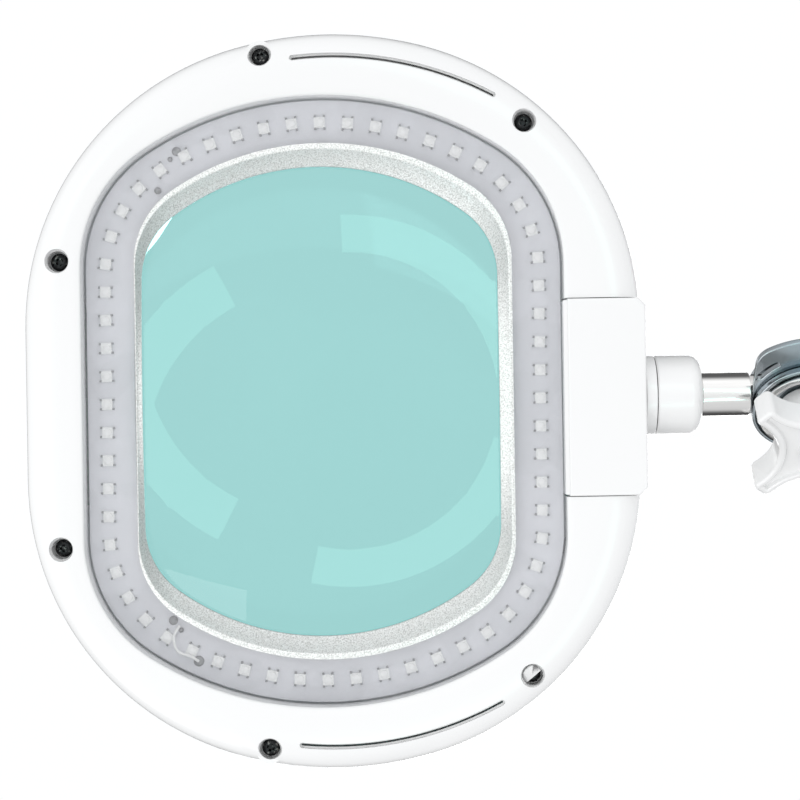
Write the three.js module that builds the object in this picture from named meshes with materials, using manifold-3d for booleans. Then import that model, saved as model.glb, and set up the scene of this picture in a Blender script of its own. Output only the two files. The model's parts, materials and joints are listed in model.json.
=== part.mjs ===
// Table-clamp magnifying lamp: a ring-lit lens head on a two-section parallel arm.
// Millimetres, +Z up. The origin is where the table's top meets the upper jaw, under the arm's post.
import * as THREE from 'three';
import { mergeVertices } from 'three/addons/utils/BufferGeometryUtils.js';
import Module from 'manifold-3d';

const wasm = await Module();
wasm.setup();

// ---- Driving dimensions -------------------------------------------------------------------

const GAP = 0.3;
const ROUND_STEPS = 16;
const FINE_STEPS = 24;
const CURVE_STEPS = 5;

// Head outlines: a flat oval of side, corner and end arcs. Local x points to the arm, z to the light side.
const CASING = { centreX: 0, halfWidth: 119.6, halfHeight: 142.7, endRadius: 142.7, cornerRadius: 113 };
const OPENING = { centreX: -3.6, halfWidth: 93.1, halfHeight: 118, endRadius: 125.5, cornerRadius: 54.5 };
const BEZEL = { centreX: -3.7, halfWidth: 73.1, halfHeight: 99.3, endRadius: 104, cornerRadius: 34 };
const LENS_SIGHT = { centreX: -5, halfWidth: 69.4, halfHeight: 91.7, endRadius: 96.7, cornerRadius: 30.4 };
const COVER_FLAP = { centreX: -5, halfWidth: 84, halfHeight: 106, endRadius: 112, cornerRadius: 46 };

const CREST_Z = 17;
const BACK_Z = -20;
const SHELL_WALL = 2.4;
const WELL_FLOOR_Z = 7;
const WELL_RADIUS = 4.2;
const SCREWS = [[-26.5, 134], [75.2, 106.9], [-105.6, 55.5]].flatMap(([x, y]) => [[x, y], [x, -y]]);
const VENT = { radius: 133, width: 2.2, from: -6, to: 28.4 };

const LENS_SURFACE_RADIUS = 347;
const LENS_MID_Z = -1;
const LENS_HALF_THICKNESS = 15;
const LENS_EDGE_MARGIN = 3;
const LENS_SEAT_Z = -9.6;
const LED_COVER_Z = 8;
const LED_COVER_THICKNESS = 1.5;
const LED_BOARD_Z = 3;
const LED_BOARD_THICKNESS = 1.6;

const BLOCK = { inner: 90.5, outer: 120.6, halfWidth: 38, front: 18, back: -20.2, chamfer: 3, wall: 3 };
const BLOCK_LIP = { inner: 88.9, halfWidth: 34.5, low: 10.4, high: 17.2 };
const HINGE = { x: 104, z: -25.4, radius: 4.5, earFrom: 22, earTo: 30, pinRadius: 1.9 };
const COVER_THICKNESS = 2.5;
const COVER_TAB = { from: -94, to: -86, halfWidth: 12 };
const COVER_OPEN_DEG = 84;
const BUTTON = { x: 97, y: -60, radius: 6, top: -22.6, flange: 7.6, flangeLow: -15, flangeHigh: -13 };
const INLET = { y: 26, z: -10, radius: 5, from: 106, to: 121.4 };
const DRIVER = { from: -108, to: -84, halfLength: 40, low: -14, thickness: 1.6 };

const NECK_RADIUS = 8.7;
const HUB_RADIUS = 15.7;
const COLLAR_START = 120.9;
const HUB_START = 125.4;
const HUB_STOP = 143;
const SPINDLE_RADIUS = 5;
const TILT_TO_HEAD = 184.5;
const HEAD_TURN_DEG = 45;

// The knob and its joint stack, measured from the arm's middle plane towards -Y.
const PLATE_IN = 3.1;
const PLATE_OUT = 5.7;
const TONGUE_HALF = 2.8;
const BOLT_RADIUS = 4;
const FORK = { above: 21.9, below: 33.5, corner: 9 };
const SLOT = { x: 2, z: -4, inner: 19.7, outer: 22.3, fromDeg: -55, toDeg: -31 };
const CUP = { radius: 21.7, wall: 1.3, floor: 1.2, rim: -9.4 };
const FRICTION_RING = { inner: 16.5, outer: 19.4, end: -11 };
const FAR_WASHER = { radius: 11, thickness: 1.5 };
const BOLT_END = -28;
const KNOB = { tip: 30, lobeHalf: 4.65, hollow: 24.7, low: 19, thick: 12.7, hubRadius: 12, turnDeg: 49.3 };

// Arm: two parallel-rail sections. Angles are from +X, up towards +Z.
const RAIL_SPACING = 32;
const RAIL = { height: 14, width: 12, wall: 1.5, lugLength: 26, lugRadius: 8 };
const PIN_RADIUS = 3;
const PLATE_EDGE = 11;
const LOWER_LENGTH = 380;
const LOWER_ANGLE = THREE.MathUtils.degToRad(108);
const UPPER_LENGTH = 330;
const UPPER_ANGLE = THREE.MathUtils.degToRad(24);
const BASE_PIVOT = new THREE.Vector2(-RAIL_SPACING / 2, 92);
const ELBOW_RISE = 70;
const TILT_FROM_ARM = new THREE.Vector2(50, -12);

// Clamp: a C-frame that opens towards +X, with the screw coming up from below.
const JAW = { back: -40, front: 32, inside: -31, top: 8, bottom: -84, low: -75, halfWidth: 22, corner: 10 };
const SOCKET = { radius: 13, top: 44, floor: 10 };
const POST_RADIUS = 6.25;
const SCREW = { x: 6, radius: 5, tip: -47, end: -130, bossRadius: 11, bossEnd: -94 };
const PAD = { radius: 15, top: -40, bottom: -45, hubRadius: 8, hubEnd: -52 };
const CLAMP_KNOB_TOP = -124;

// ---- Solids -------------------------------------------------------------------------------

// A closed geometry as a solid: vertices merged, slivers dropped, faces turned outwards.
function solid(geometry) {
  const bare = geometry.clone();
  bare.deleteAttribute('normal');
  bare.deleteAttribute('uv');
  const merged = mergeVertices(bare, 1e-4);
  const position = merged.attributes.position;
  const corners = [new THREE.Vector3(), new THREE.Vector3(), new THREE.Vector3()];
  const triangles = [];
  let volume = 0;
  for (let i = 0; i < merged.index.count; i += 3) {
    const ids = [0, 1, 2].map((k) => merged.index.getX(i + k));
    if (new Set(ids).size < 3) continue;
    ids.forEach((id, k) => corners[k].fromBufferAttribute(position, id));
    volume += corners[0].dot(corners[1].clone().cross(corners[2]));
    triangles.push(ids);
  }
  const triVerts = triangles.flatMap((ids) => (volume < 0 ? [ids[0], ids[2], ids[1]] : ids));
  return new wasm.Manifold(new wasm.Mesh({
    numProp: 3,
    vertProperties: new Float32Array(position.array),
    triVerts: new Uint32Array(triVerts),
  }));
}

function geometryOf(manifold) {
  const mesh = manifold.getMesh();
  const geometry = new THREE.BufferGeometry();
  geometry.setAttribute('position', new THREE.BufferAttribute(new Float32Array(mesh.vertProperties), 3));
  geometry.setIndex(new THREE.BufferAttribute(new Uint32Array(mesh.triVerts), 1));
  geometry.computeVertexNormals();
  return geometry;
}

function joined(solids) {
  return solids.reduce((sum, next) => sum.add(next));
}

// A box given by its lowest and highest corners.
function box(x0, x1, y0, y1, z0, z1) {
  const geometry = new THREE.BoxGeometry(x1 - x0, y1 - y0, z1 - z0);
  geometry.translate((x0 + x1) / 2, (y0 + y1) / 2, (z0 + z1) / 2);
  return solid(geometry);
}

// A turned body. The profile lists [radius, height] pairs from axis to axis, or closes on itself.
function turnedGeometry(profile, steps = ROUND_STEPS) {
  return new THREE.LatheGeometry(profile.map(([r, h]) => new THREE.Vector2(r, h)), steps);
}

function turnedAboutX(profile, steps) {
  return solid(turnedGeometry(profile, steps).rotateZ(-Math.PI / 2));
}

function turnedAboutY(profile, steps) {
  return solid(turnedGeometry(profile, steps));
}

function turnedAboutZ(profile, steps) {
  return solid(turnedGeometry(profile, steps).rotateX(Math.PI / 2));
}

function rod(radius, low, high) {
  return [[0, low], [radius, low], [radius, high], [0, high]];
}

function ringProfile(inner, outer, low, high) {
  return [[inner, low], [outer, low], [outer, high], [inner, high], [inner, low]];
}

function shapeOf(points, holes = []) {
  const shape = new THREE.Shape(points);
  shape.holes = holes.map((hole) => new THREE.Path(hole));
  return shape;
}

// The points of an outline, without the doubles where one arc meets the next.
function distinct(points) {
  return points.filter((point, i) => point.distanceTo(points[(i + 1) % points.length]) > 1e-3);
}

function extruded(shape, depth) {
  const { shape: outline, holes } = shape.extractPoints(CURVE_STEPS);
  const clean = shapeOf(distinct(outline), holes.map(distinct));
  return new THREE.ExtrudeGeometry(clean, { depth, bevelEnabled: false });
}

// A flat plate lying in the head's plane, between two heights.
function slab(shape, low, high) {
  return solid(extruded(shape, high - low).translate(0, 0, low));
}

// A flat plate standing in the arm's plane: shape x and y become X and Z.
function plate(shape, yLow, yHigh) {
  return solid(extruded(shape, yHigh - yLow).rotateX(Math.PI / 2).translate(0, yHigh, 0));
}

// ---- Outlines -----------------------------------------------------------------------------

const SIDE_STEPS = 1;
const CORNER_STEPS = 5;
const END_STEPS = 4;

// First quadrant of an oval outline, from the x axis round to the y axis.
function quadrant(oval) {
  const endCentre = oval.halfHeight - oval.endRadius;
  const cornerX = oval.halfWidth - oval.cornerRadius;
  const cornerY = endCentre + Math.sqrt((oval.endRadius - oval.cornerRadius) ** 2 - cornerX ** 2);
  const meet = Math.atan2(cornerY - endCentre, cornerX);
  const points = [];
  for (let i = 0; i < SIDE_STEPS; i++) {
    points.push(new THREE.Vector2(oval.halfWidth, cornerY * i / SIDE_STEPS));
  }
  for (let i = 0; i < CORNER_STEPS; i++) {
    const angle = meet * i / CORNER_STEPS;
    const x = cornerX + oval.cornerRadius * Math.cos(angle);
    points.push(new THREE.Vector2(x, cornerY + oval.cornerRadius * Math.sin(angle)));
  }
  for (let i = 0; i <= END_STEPS; i++) {
    const angle = meet + (Math.PI / 2 - meet) * i / END_STEPS;
    const x = oval.endRadius * Math.cos(angle);
    points.push(new THREE.Vector2(x, endCentre + oval.endRadius * Math.sin(angle)));
  }
  return points;
}

function ovalPoints(oval) {
  const corner = quadrant(oval);
  const last = corner.length - 1;
  const signs = [[1, 1], [-1, 1], [-1, -1], [1, -1]];
  return signs.flatMap(([sx, sy], turn) => {
    const run = [];
    for (let i = 0; i < last; i++) {
      const point = corner[turn % 2 ? last - i : i];
      run.push(new THREE.Vector2(oval.centreX + sx * point.x, sy * point.y));
    }
    return run;
  });
}

// The same oval moved out by a distance; its arcs keep their centres.
function grown(oval, by) {
  return {
    centreX: oval.centreX,
    halfWidth: oval.halfWidth + by,
    halfHeight: oval.halfHeight + by,
    endRadius: oval.endRadius + by,
    cornerRadius: oval.cornerRadius + by,
  };
}

// A closed ring lofted round the head. sectionAt gives one cross-section's points in order.
function loftedRing(count, sectionAt) {
  const sections = Array.from({ length: count }, (_, i) => sectionAt(i));
  const size = sections[0].length;
  const index = [];
  for (let i = 0; i < count; i++) {
    const next = (i + 1) % count;
    for (let j = 0; j < size; j++) {
      const k = (j + 1) % size;
      const quad = [i * size + j, next * size + j, next * size + k, i * size + k];
      index.push(quad[0], quad[1], quad[2], quad[0], quad[2], quad[3]);
    }
  }
  const geometry = new THREE.BufferGeometry();
  const coordinates = sections.flat().flatMap((point) => point.toArray());
  geometry.setAttribute('position', new THREE.Float32BufferAttribute(coordinates, 3));
  geometry.setIndex(index);
  return solid(geometry);
}

// A ring between two ovals. The profile gives [share of the way in, height] pairs.
function ovalRing(outer, inner, profile) {
  const outside = ovalPoints(outer);
  const inside = ovalPoints(inner);
  return loftedRing(outside.length, (i) => profile.map(([share, z]) => {
    const point = outside[i].clone().lerp(inside[i], share);
    return new THREE.Vector3(point.x, point.y, z);
  }));
}

function lensHeight(x, y) {
  const away = Math.hypot(x - LENS_SIGHT.centreX, y);
  const drop = LENS_SURFACE_RADIUS - Math.sqrt(LENS_SURFACE_RADIUS ** 2 - away ** 2);
  return LENS_HALF_THICKNESS - drop;
}

// A plate outline round a row of circles, each [x, z, radius], listed counter-clockwise.
function hullShape(circles) {
  const shape = new THREE.Shape();
  const count = circles.length;
  const tangents = circles.map(([x, z, r], i) => {
    const [nx, nz, nr] = circles[(i + 1) % count];
    const heading = Math.atan2(nz - z, nx - x);
    const lean = Math.asin((r - nr) / Math.hypot(nx - x, nz - z));
    return heading - Math.PI / 2 + lean;
  });
  circles.forEach(([x, z, r], i) => {
    const from = tangents[(i + count - 1) % count];
    shape.absarc(x, z, r, from, tangents[i], false);
  });
  shape.closePath();
  return shape;
}

function circlePath(x, y, radius, steps = 14) {
  return Array.from({ length: steps }, (_, i) => {
    const angle = 2 * Math.PI * i / steps;
    return new THREE.Vector2(x + radius * Math.cos(angle), y + radius * Math.sin(angle));
  });
}

// ---- Materials ----------------------------------------------------------------------------

function finish(color, roughness, metalness = 0, opacity = 1) {
  return new THREE.MeshStandardMaterial({ color, roughness, metalness, opacity, transparent: opacity < 1 });
}

const WHITE_PLASTIC = finish(0xf2f2f1, 0.25);
const CLEAR_COVER = finish(0xdee0e8, 0.35, 0, 0.6);
const BOARD_WHITE = finish(0xd9dcdd, 0.6);
const BOARD_GREEN = finish(0x2f6b4a, 0.6);
const LENS_GLASS = finish(0xa3d9d6, 0.05, 0, 0.5);
const BEZEL_SILVER = finish(0xd7d6d2, 0.45, 0.4);
const SCREW_BLACK = finish(0x2b2b2c, 0.35, 0.8);
const BLACK_PLASTIC = finish(0x1f1f20, 0.5);
const CHROME = finish(0xd5d3d2, 0.12, 1);
const ZINC = finish(0x9fa6ab, 0.35, 1);
const SPRING_STEEL = finish(0xb9bcbf, 0.3, 1);
const WHITE_ENAMEL = finish(0xeeeeec, 0.35, 0.1);
const CAST_ENAMEL = finish(0xe9e9e7, 0.45, 0.1);

// ---- The scene graph ----------------------------------------------------------------------

const lamp = new THREE.Group();

function addNode(group, name, manifold, material) {
  const mesh = new THREE.Mesh(geometryOf(manifold), material);
  mesh.name = name;
  group.add(mesh);
}

// ---- Head ---------------------------------------------------------------------------------

function wellTools(radius, low, high) {
  return SCREWS.map(([x, y]) => turnedAboutZ(rod(radius, low, high), 12).translate([x, y, 0]));
}

function ventSlot(side) {
  const half = VENT.width / 2;
  const from = THREE.MathUtils.degToRad(90 - VENT.to);
  const to = THREE.MathUtils.degToRad(90 - VENT.from);
  const shape = new THREE.Shape();
  shape.absarc(0, 0, VENT.radius - half, from, to, false);
  shape.absarc(0, 0, VENT.radius + half, to, from, true);
  shape.closePath();
  const slot = slab(shape, 5, CREST_Z + 5);
  return side > 0 ? slot : slot.mirror([0, 1, 0]);
}

function blockNotch(inner) {
  const half = BLOCK.halfWidth + GAP;
  return box(inner - GAP, BLOCK.outer + 8, -half, half, -40, 40);
}

function frontHousing() {
  const outside = [[0, GAP], [0, 6], [0.04, 11.4], [0.14, 14.3], [0.3, 16.2], [0.55, CREST_Z], [0.88, 16.7],
    [1, 15.8], [1, 5.6], [0.9, 5.6], [0.9, GAP]];
  const hollow = [[0.1, -1], [0.1, 8], [0.2, 12], [0.5, 14.4], [0.88, 14.2], [0.88, -1]];
  const bosses = joined(wellTools(5.6, -1, 14));
  return ovalRing(CASING, OPENING, outside)
    .subtract(ovalRing(CASING, OPENING, hollow).subtract(bosses))
    .subtract(joined(wellTools(WELL_RADIUS, WELL_FLOOR_Z, CREST_Z + 5)))
    .subtract(joined(wellTools(1.8, -2, CREST_Z)))
    .subtract(ventSlot(1))
    .subtract(ventSlot(-1))
    .subtract(blockNotch(BLOCK_LIP.inner));
}

function backHousing() {
  const inner = grown(LENS_SIGHT, 0.6);
  const outside = [[0, -GAP], [0, -7], [0.04, -13], [0.1, -16.8], [0.22, -19.2], [0.4, BACK_Z], [1, BACK_Z],
    [1, LENS_SEAT_Z]];
  const inside = [[0.955, LENS_SEAT_Z], [0.948, BACK_Z + SHELL_WALL], [0.4, BACK_Z + SHELL_WALL],
    [0.16, -15.2], [0.075, -9.5], [0.055, -GAP]];
  const columns = joined(wellTools(4, BACK_Z, -0.6)).intersect(ovalRing(CASING, inner, outside));
  const buttonHole = turnedAboutZ(rod(BUTTON.radius + GAP, BACK_Z - 5, BACK_Z + 8))
    .translate([BUTTON.x, BUTTON.y, 0]);
  return ovalRing(CASING, inner, [...outside, ...inside])
    .add(columns)
    .subtract(joined(wellTools(1.8, -11, 1)))
    .subtract(blockNotch(BLOCK.inner))
    .subtract(buttonHole);
}

function flatRing(outer, inner, low, high) {
  return slab(shapeOf(ovalPoints(outer), [ovalPoints(inner)]), low, high);
}

function ledCover() {
  return flatRing(grown(OPENING, -GAP), BEZEL, LED_COVER_Z, LED_COVER_Z + LED_COVER_THICKNESS);
}

function ledBoard() {
  return flatRing(grown(OPENING, -3), grown(BEZEL, 1.5), LED_BOARD_Z, LED_BOARD_Z + LED_BOARD_THICKNESS);
}

function lens() {
  const rim = ovalPoints(grown(LENS_SIGHT, LENS_EDGE_MARGIN));
  const shares = [1, 0.72, 0.4];
  const centre = new THREE.Vector2(LENS_SIGHT.centreX, 0);
  const coordinates = [];
  const place = (x, y, side) => coordinates.push(x, y, LENS_MID_Z + side * lensHeight(x, y));
  for (const side of [1, -1]) {
    for (const share of shares) {
      for (const point of rim) {
        const at = centre.clone().lerp(point, share);
        place(at.x, at.y, side);
      }
    }
    place(centre.x, centre.y, side);
  }
  const count = rim.length;
  const layer = shares.length * count + 1;
  const index = [];
  for (let i = 0; i < count; i++) {
    const next = (i + 1) % count;
    for (let ring = 0; ring < shares.length; ring++) {
      const here = ring * count;
      const inner = ring + 1 < shares.length ? here + count : null;
      for (const [base, turned] of [[0, false], [layer, true]]) {
        const a = base + here + i;
        const b = base + here + next;
        const c = inner === null ? base + layer - 1 : base + inner + next;
        const d = inner === null ? c : base + inner + i;
        const faces = inner === null ? [[a, b, c]] : [[a, b, c], [a, c, d]];
        faces.forEach((face) => index.push(...(turned ? [face[0], face[2], face[1]] : face)));
      }
    }
    index.push(i, layer + i, layer + next, i, layer + next, next);
  }
  const geometry = new THREE.BufferGeometry();
  geometry.setAttribute('position', new THREE.Float32BufferAttribute(coordinates, 3));
  geometry.setIndex(index);
  return solid(geometry);
}

// The slanted frame between the light cover and the lens; its inner edge follows the lens's face.
function lensRetainer() {
  const outside = ovalPoints(grown(BEZEL, -GAP));
  const inside = ovalPoints(LENS_SIGHT);
  const top = LED_COVER_Z + LED_COVER_THICKNESS;
  return loftedRing(outside.length, (i) => {
    const [o, n] = [outside[i], inside[i]];
    const seat = LENS_MID_Z + lensHeight(n.x, n.y) + 0.5;
    const foot = LENS_MID_Z + lensHeight(o.x, o.y) + 1.2;
    return [
      new THREE.Vector3(o.x, o.y, foot),
      new THREE.Vector3(o.x, o.y, top),
      new THREE.Vector3(n.x, n.y, seat + 1.2),
      new THREE.Vector3(n.x, n.y, seat),
    ];
  });
}

function driverBoard() {
  const { from, to, halfLength, low, thickness } = DRIVER;
  const board = box(from, to, -halfLength, halfLength, low, low + thickness);
  const seat = low + thickness - 0.1;
  const parts = [
    box(from + 4, to - 6, -30, -14, seat, seat + 7.5),
    box(from + 6, to - 8, -6, 6, seat, seat + 5.5),
    turnedAboutZ(rod(4.5, seat, seat + 9), 16).translate([from + 11, 16, 0]),
    turnedAboutZ(rod(3.2, seat, seat + 6.5), 16).translate([from + 11, 29, 0]),
  ];
  return board.add(joined(parts));
}

function blockOutline() {
  const { inner, outer, halfWidth, chamfer } = BLOCK;
  return shapeOf([
    new THREE.Vector2(inner, -halfWidth),
    new THREE.Vector2(outer - chamfer, -halfWidth),
    new THREE.Vector2(outer, -halfWidth + chamfer),
    new THREE.Vector2(outer, halfWidth - chamfer),
    new THREE.Vector2(outer - chamfer, halfWidth),
    new THREE.Vector2(inner, halfWidth),
  ]);
}

// One half of the block's hollow: a pocket with two ribs that carry the swivel spindle.
function blockPocket(low, high) {
  const half = BLOCK.halfWidth - BLOCK.wall;
  const pocket = box(BLOCK.inner + BLOCK.wall, BLOCK.outer - BLOCK.wall, -half, half, low, high);
  return pocket.subtract(box(109, 112, -half - 1, half + 1, low - 1, high + 1));
}

function spindleBore() {
  return turnedAboutX(rod(SPINDLE_RADIUS + 0.4, 92, BLOCK.outer + 5));
}

function mountBlockFront() {
  const lip = box(BLOCK_LIP.inner, BLOCK.inner + 1, -BLOCK_LIP.halfWidth, BLOCK_LIP.halfWidth,
    BLOCK_LIP.low, BLOCK_LIP.high);
  return slab(blockOutline(), GAP, BLOCK.front)
    .add(lip)
    .subtract(blockPocket(-1, BLOCK.front - BLOCK.wall))
    .subtract(spindleBore());
}

function mountBlockBack() {
  const ears = [-1, 1].map((side) => {
    const low = side > 0 ? HINGE.earFrom : -HINGE.earTo;
    const high = low + HINGE.earTo - HINGE.earFrom;
    const stem = box(HINGE.x - HINGE.radius, HINGE.x + HINGE.radius, low, high, HINGE.z, BLOCK.back + 1);
    return turnedAboutY(rod(HINGE.radius, low, high)).translate([HINGE.x, 0, HINGE.z]).add(stem);
  });
  const pinHole = turnedAboutY(rod(HINGE.pinRadius + GAP, -50, 50)).translate([HINGE.x, 0, HINGE.z]);
  const inletHole = turnedAboutX(rod(INLET.radius + GAP, INLET.from - 1, BLOCK.outer + 5))
    .translate([0, INLET.y, INLET.z]);
  return slab(blockOutline(), BLOCK.back, -GAP)
    .add(joined(ears))
    .subtract(blockPocket(BLOCK.back + BLOCK.wall, 1))
    .subtract(spindleBore())
    .subtract(pinHole)
    .subtract(inletHole);
}

function housingScrew([x, y]) {
  const seat = WELL_FLOOR_Z + GAP;
  const head = [[3.4, seat], [3.4, seat + 1.4], [2.6, seat + 2.2], [0, seat + 2.5]];
  const profile = [[0, -9], [1.5, -8], [1.5, seat], ...head];
  return turnedAboutZ(profile, 12).translate([x, y, 0]);
}

// The cover as it lies shut over the lens's back, then swung open about its hinge.
function lensCover() {
  const low = HINGE.z + HINGE.radius - 0.1 - COVER_THICKNESS;
  const high = low + COVER_THICKNESS;
  const half = HINGE.earFrom - 0.6;
  const flap = slab(shapeOf(ovalPoints(COVER_FLAP)), low, high)
    .add(box(72, HINGE.x, -half, half, low, high))
    .add(box(COVER_TAB.from, COVER_TAB.to, -COVER_TAB.halfWidth, COVER_TAB.halfWidth, low, high))
    .add(turnedAboutY(rod(HINGE.radius - 0.1, -half, half)).translate([HINGE.x, 0, HINGE.z]))
    .subtract(turnedAboutY(rod(HINGE.pinRadius + GAP, -50, 50)).translate([HINGE.x, 0, HINGE.z]));
  return flap
    .translate([-HINGE.x, 0, -HINGE.z])
    .rotate([0, -COVER_OPEN_DEG, 0])
    .translate([HINGE.x, 0, HINGE.z]);
}

function powerButton() {
  const { x, y, radius, top, flange, flangeLow, flangeHigh } = BUTTON;
  const profile = [[0, flangeHigh], [flange, flangeHigh], [flange, flangeLow], [radius, flangeLow],
    [radius, top + 1], [radius - 1, top], [0, top]];
  return turnedAboutZ(profile).translate([x, y, 0]);
}

function coverHingePin() {
  const { x, z, earTo, pinRadius } = HINGE;
  const [headRadius, seat, end] = [pinRadius + 1.3, earTo + 0.4, earTo + 2];
  const profile = [[0, -end], [headRadius, -end], [headRadius, -seat], [pinRadius, -seat], [pinRadius, seat],
    [headRadius, seat], [headRadius, end], [0, end]];
  return turnedAboutY(profile, 12).translate([x, 0, z]);
}

// A barrel jack: an outer sleeve round an open socket with a centre pin.
function dcInlet() {
  const { y, z, radius, from, to } = INLET;
  const [socket, floor, pin] = [3.2, from + 6, 1];
  const profile = [[0, from], [radius, from], [radius, to], [socket, to], [socket, floor], [pin, floor],
    [pin, to - 2.4], [0, to - 2.4]];
  return turnedAboutX(profile, 16).translate([0, y, z]);
}

function swivelCollar() {
  const profile = ringProfile(SPINDLE_RADIUS + 0.4, HUB_RADIUS, COLLAR_START, HUB_START - GAP);
  return turnedAboutX(profile, FINE_STEPS);
}

function buildHead(group) {
  addNode(group, 'front_housing', frontHousing(), WHITE_PLASTIC);
  addNode(group, 'back_housing', backHousing(), WHITE_PLASTIC);
  addNode(group, 'led_cover', ledCover(), CLEAR_COVER);
  addNode(group, 'led_board', ledBoard(), BOARD_WHITE);
  addNode(group, 'lens', lens(), LENS_GLASS);
  addNode(group, 'lens_retainer', lensRetainer(), BEZEL_SILVER);
  addNode(group, 'driver_board', driverBoard(), BOARD_GREEN);
  addNode(group, 'mount_block_front', mountBlockFront(), WHITE_PLASTIC);
  addNode(group, 'mount_block_back', mountBlockBack(), WHITE_PLASTIC);
  SCREWS.forEach((place, i) => {
    addNode(group, `housing_screw_${i + 1}`, housingScrew(place), SCREW_BLACK);
  });
  addNode(group, 'cover_hinge_pin', coverHingePin(), SPRING_STEEL);
  addNode(group, 'lens_cover', lensCover(), WHITE_PLASTIC);
  addNode(group, 'power_button', powerButton(), BLACK_PLASTIC);
  addNode(group, 'dc_inlet', dcInlet(), BLACK_PLASTIC);
  addNode(group, 'swivel_collar', swivelCollar(), WHITE_PLASTIC);
}

// ---- Neck and tilt joint ------------------------------------------------------------------

// Distances run from the tilt pivot along the neck to the head.
const HUB_END = TILT_TO_HEAD - HUB_STOP;
const SEAM = TILT_TO_HEAD - HUB_START;

function neckHub() {
  const bore = SPINDLE_RADIUS + GAP;
  const corner = 4.5;
  const profile = [[0, HUB_END], [HUB_RADIUS - corner, HUB_END]];
  for (let i = 1; i <= 4; i++) {
    const angle = Math.PI / 2 * i / 4;
    profile.push([HUB_RADIUS - corner + corner * Math.sin(angle), HUB_END + corner * (1 - Math.cos(angle))]);
  }
  profile.push([HUB_RADIUS, SEAM], [bore, SEAM], [bore, HUB_END + 3], [0, HUB_END + 3]);
  return turnedAboutX(profile, FINE_STEPS);
}

function spindleNut() {
  const low = TILT_TO_HEAD - 104;
  const hexagon = turnedAboutX(rod(8.6, low, low + 6), 6);
  return hexagon.subtract(turnedAboutX(rod(SPINDLE_RADIUS + GAP, low - 1, low + 7)));
}

function neckRod() {
  const flat = shapeOf([
    new THREE.Vector2(15.4, -8),
    new THREE.Vector2(24, -8),
    new THREE.Vector2(24, 8),
    new THREE.Vector2(15.4, 8),
  ]);
  return turnedAboutX(rod(NECK_RADIUS, 22.2, HUB_END - GAP), FINE_STEPS)
    .add(plate(flat, -TONGUE_HALF, TONGUE_HALF));
}

// Near side plate of the neck's fork: round above the pivot, longer below it, with an arc slot.
function nearForkShape() {
  const { above: half, below: reach, corner } = FORK;
  const shoulder = -Math.sqrt((reach - corner) ** 2 - (half - corner) ** 2);
  const meet = Math.atan2(shoulder, half - corner);
  const shape = new THREE.Shape();
  shape.absarc(0, 0, half, 0, Math.PI, false);
  shape.absarc(corner - half, shoulder, corner, Math.PI, Math.PI - meet, false);
  shape.absarc(0, 0, reach, Math.PI - meet, 2 * Math.PI + meet, false);
  shape.absarc(half - corner, shoulder, corner, 2 * Math.PI + meet, 2 * Math.PI, false);
  shape.closePath();
  const slot = new THREE.Path();
  const [from, to] = [SLOT.fromDeg, SLOT.toDeg].map(THREE.MathUtils.degToRad);
  slot.absarc(SLOT.x, SLOT.z, SLOT.inner, from, to, false);
  slot.absarc(SLOT.x, SLOT.z, SLOT.outer, to, from, true);
  slot.closePath();
  shape.holes.push(new THREE.Path(circlePath(0, 0, BOLT_RADIUS + GAP)), slot);
  return shape;
}

// The far side plate is a plain disc.
function farForkShape() {
  const shape = shapeOf(circlePath(0, 0, FORK.above, 2 * FINE_STEPS));
  shape.holes.push(new THREE.Path(circlePath(0, 0, BOLT_RADIUS + GAP)));
  return shape;
}

// Four lobes with hollow sides between them.
function knobShape() {
  const out = Math.sqrt(KNOB.tip ** 2 - KNOB.lobeHalf ** 2);
  const away = KNOB.hollow;
  const radius = Math.hypot(out - away, away - KNOB.lobeHalf);
  const swing = Math.atan2(KNOB.lobeHalf - away, out - away);
  const shape = new THREE.Shape();
  for (let turn = 0; turn < 4; turn++) {
    const base = turn * Math.PI / 2;
    const middle = new THREE.Vector2(away, away).rotateAround(new THREE.Vector2(), base);
    const from = swing + base;
    const to = Math.PI / 2 - swing + base - 2 * Math.PI;
    shape.absarc(middle.x, middle.y, radius, from, to, true);
  }
  shape.closePath();
  return shape;
}

// The tilt knob, with its hub running down to the joint and a blind bore for the bolt.
function tiltKnob() {
  const hubStart = PLATE_OUT + 2.2;
  const body = slab(knobShape(), KNOB.low, KNOB.low + KNOB.thick);
  const hub = turnedAboutZ(rod(KNOB.hubRadius, hubStart, KNOB.low + 1));
  const bore = turnedAboutZ(rod(BOLT_RADIUS + GAP, hubStart - 1, KNOB.low + KNOB.thick - 3));
  return body.add(hub).subtract(bore).rotate([90, 0, 0]).rotate([0, -KNOB.turnDeg, 0]);
}

// The joint's washers lie outside the fork's plates, GAP away from them.
const STACK_START = PLATE_OUT + GAP;
const BOLT_BORE = BOLT_RADIUS + GAP;

function cupWasher() {
  const { radius, wall, floor, rim } = CUP;
  const [seat, inside] = [-STACK_START, -STACK_START - floor];
  const profile = [[BOLT_BORE, seat], [radius, seat], [radius, rim], [radius - wall, rim],
    [radius - wall, inside], [BOLT_BORE, inside], [BOLT_BORE, seat]];
  return turnedAboutY(profile, FINE_STEPS);
}

function frictionRing() {
  const { inner, outer, end } = FRICTION_RING;
  return turnedAboutY(ringProfile(inner, outer, end, -STACK_START - CUP.floor - GAP), FINE_STEPS);
}

function farWasher() {
  const { radius, thickness } = FAR_WASHER;
  return turnedAboutY(ringProfile(BOLT_BORE, radius, STACK_START, STACK_START + thickness));
}

function tiltBolt() {
  const head = STACK_START + FAR_WASHER.thickness + GAP;
  return turnedAboutY(rod(BOLT_RADIUS, BOLT_END, head + 0.1)).add(turnedAboutY(rod(7.5, head, head + 5), 6));
}

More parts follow.
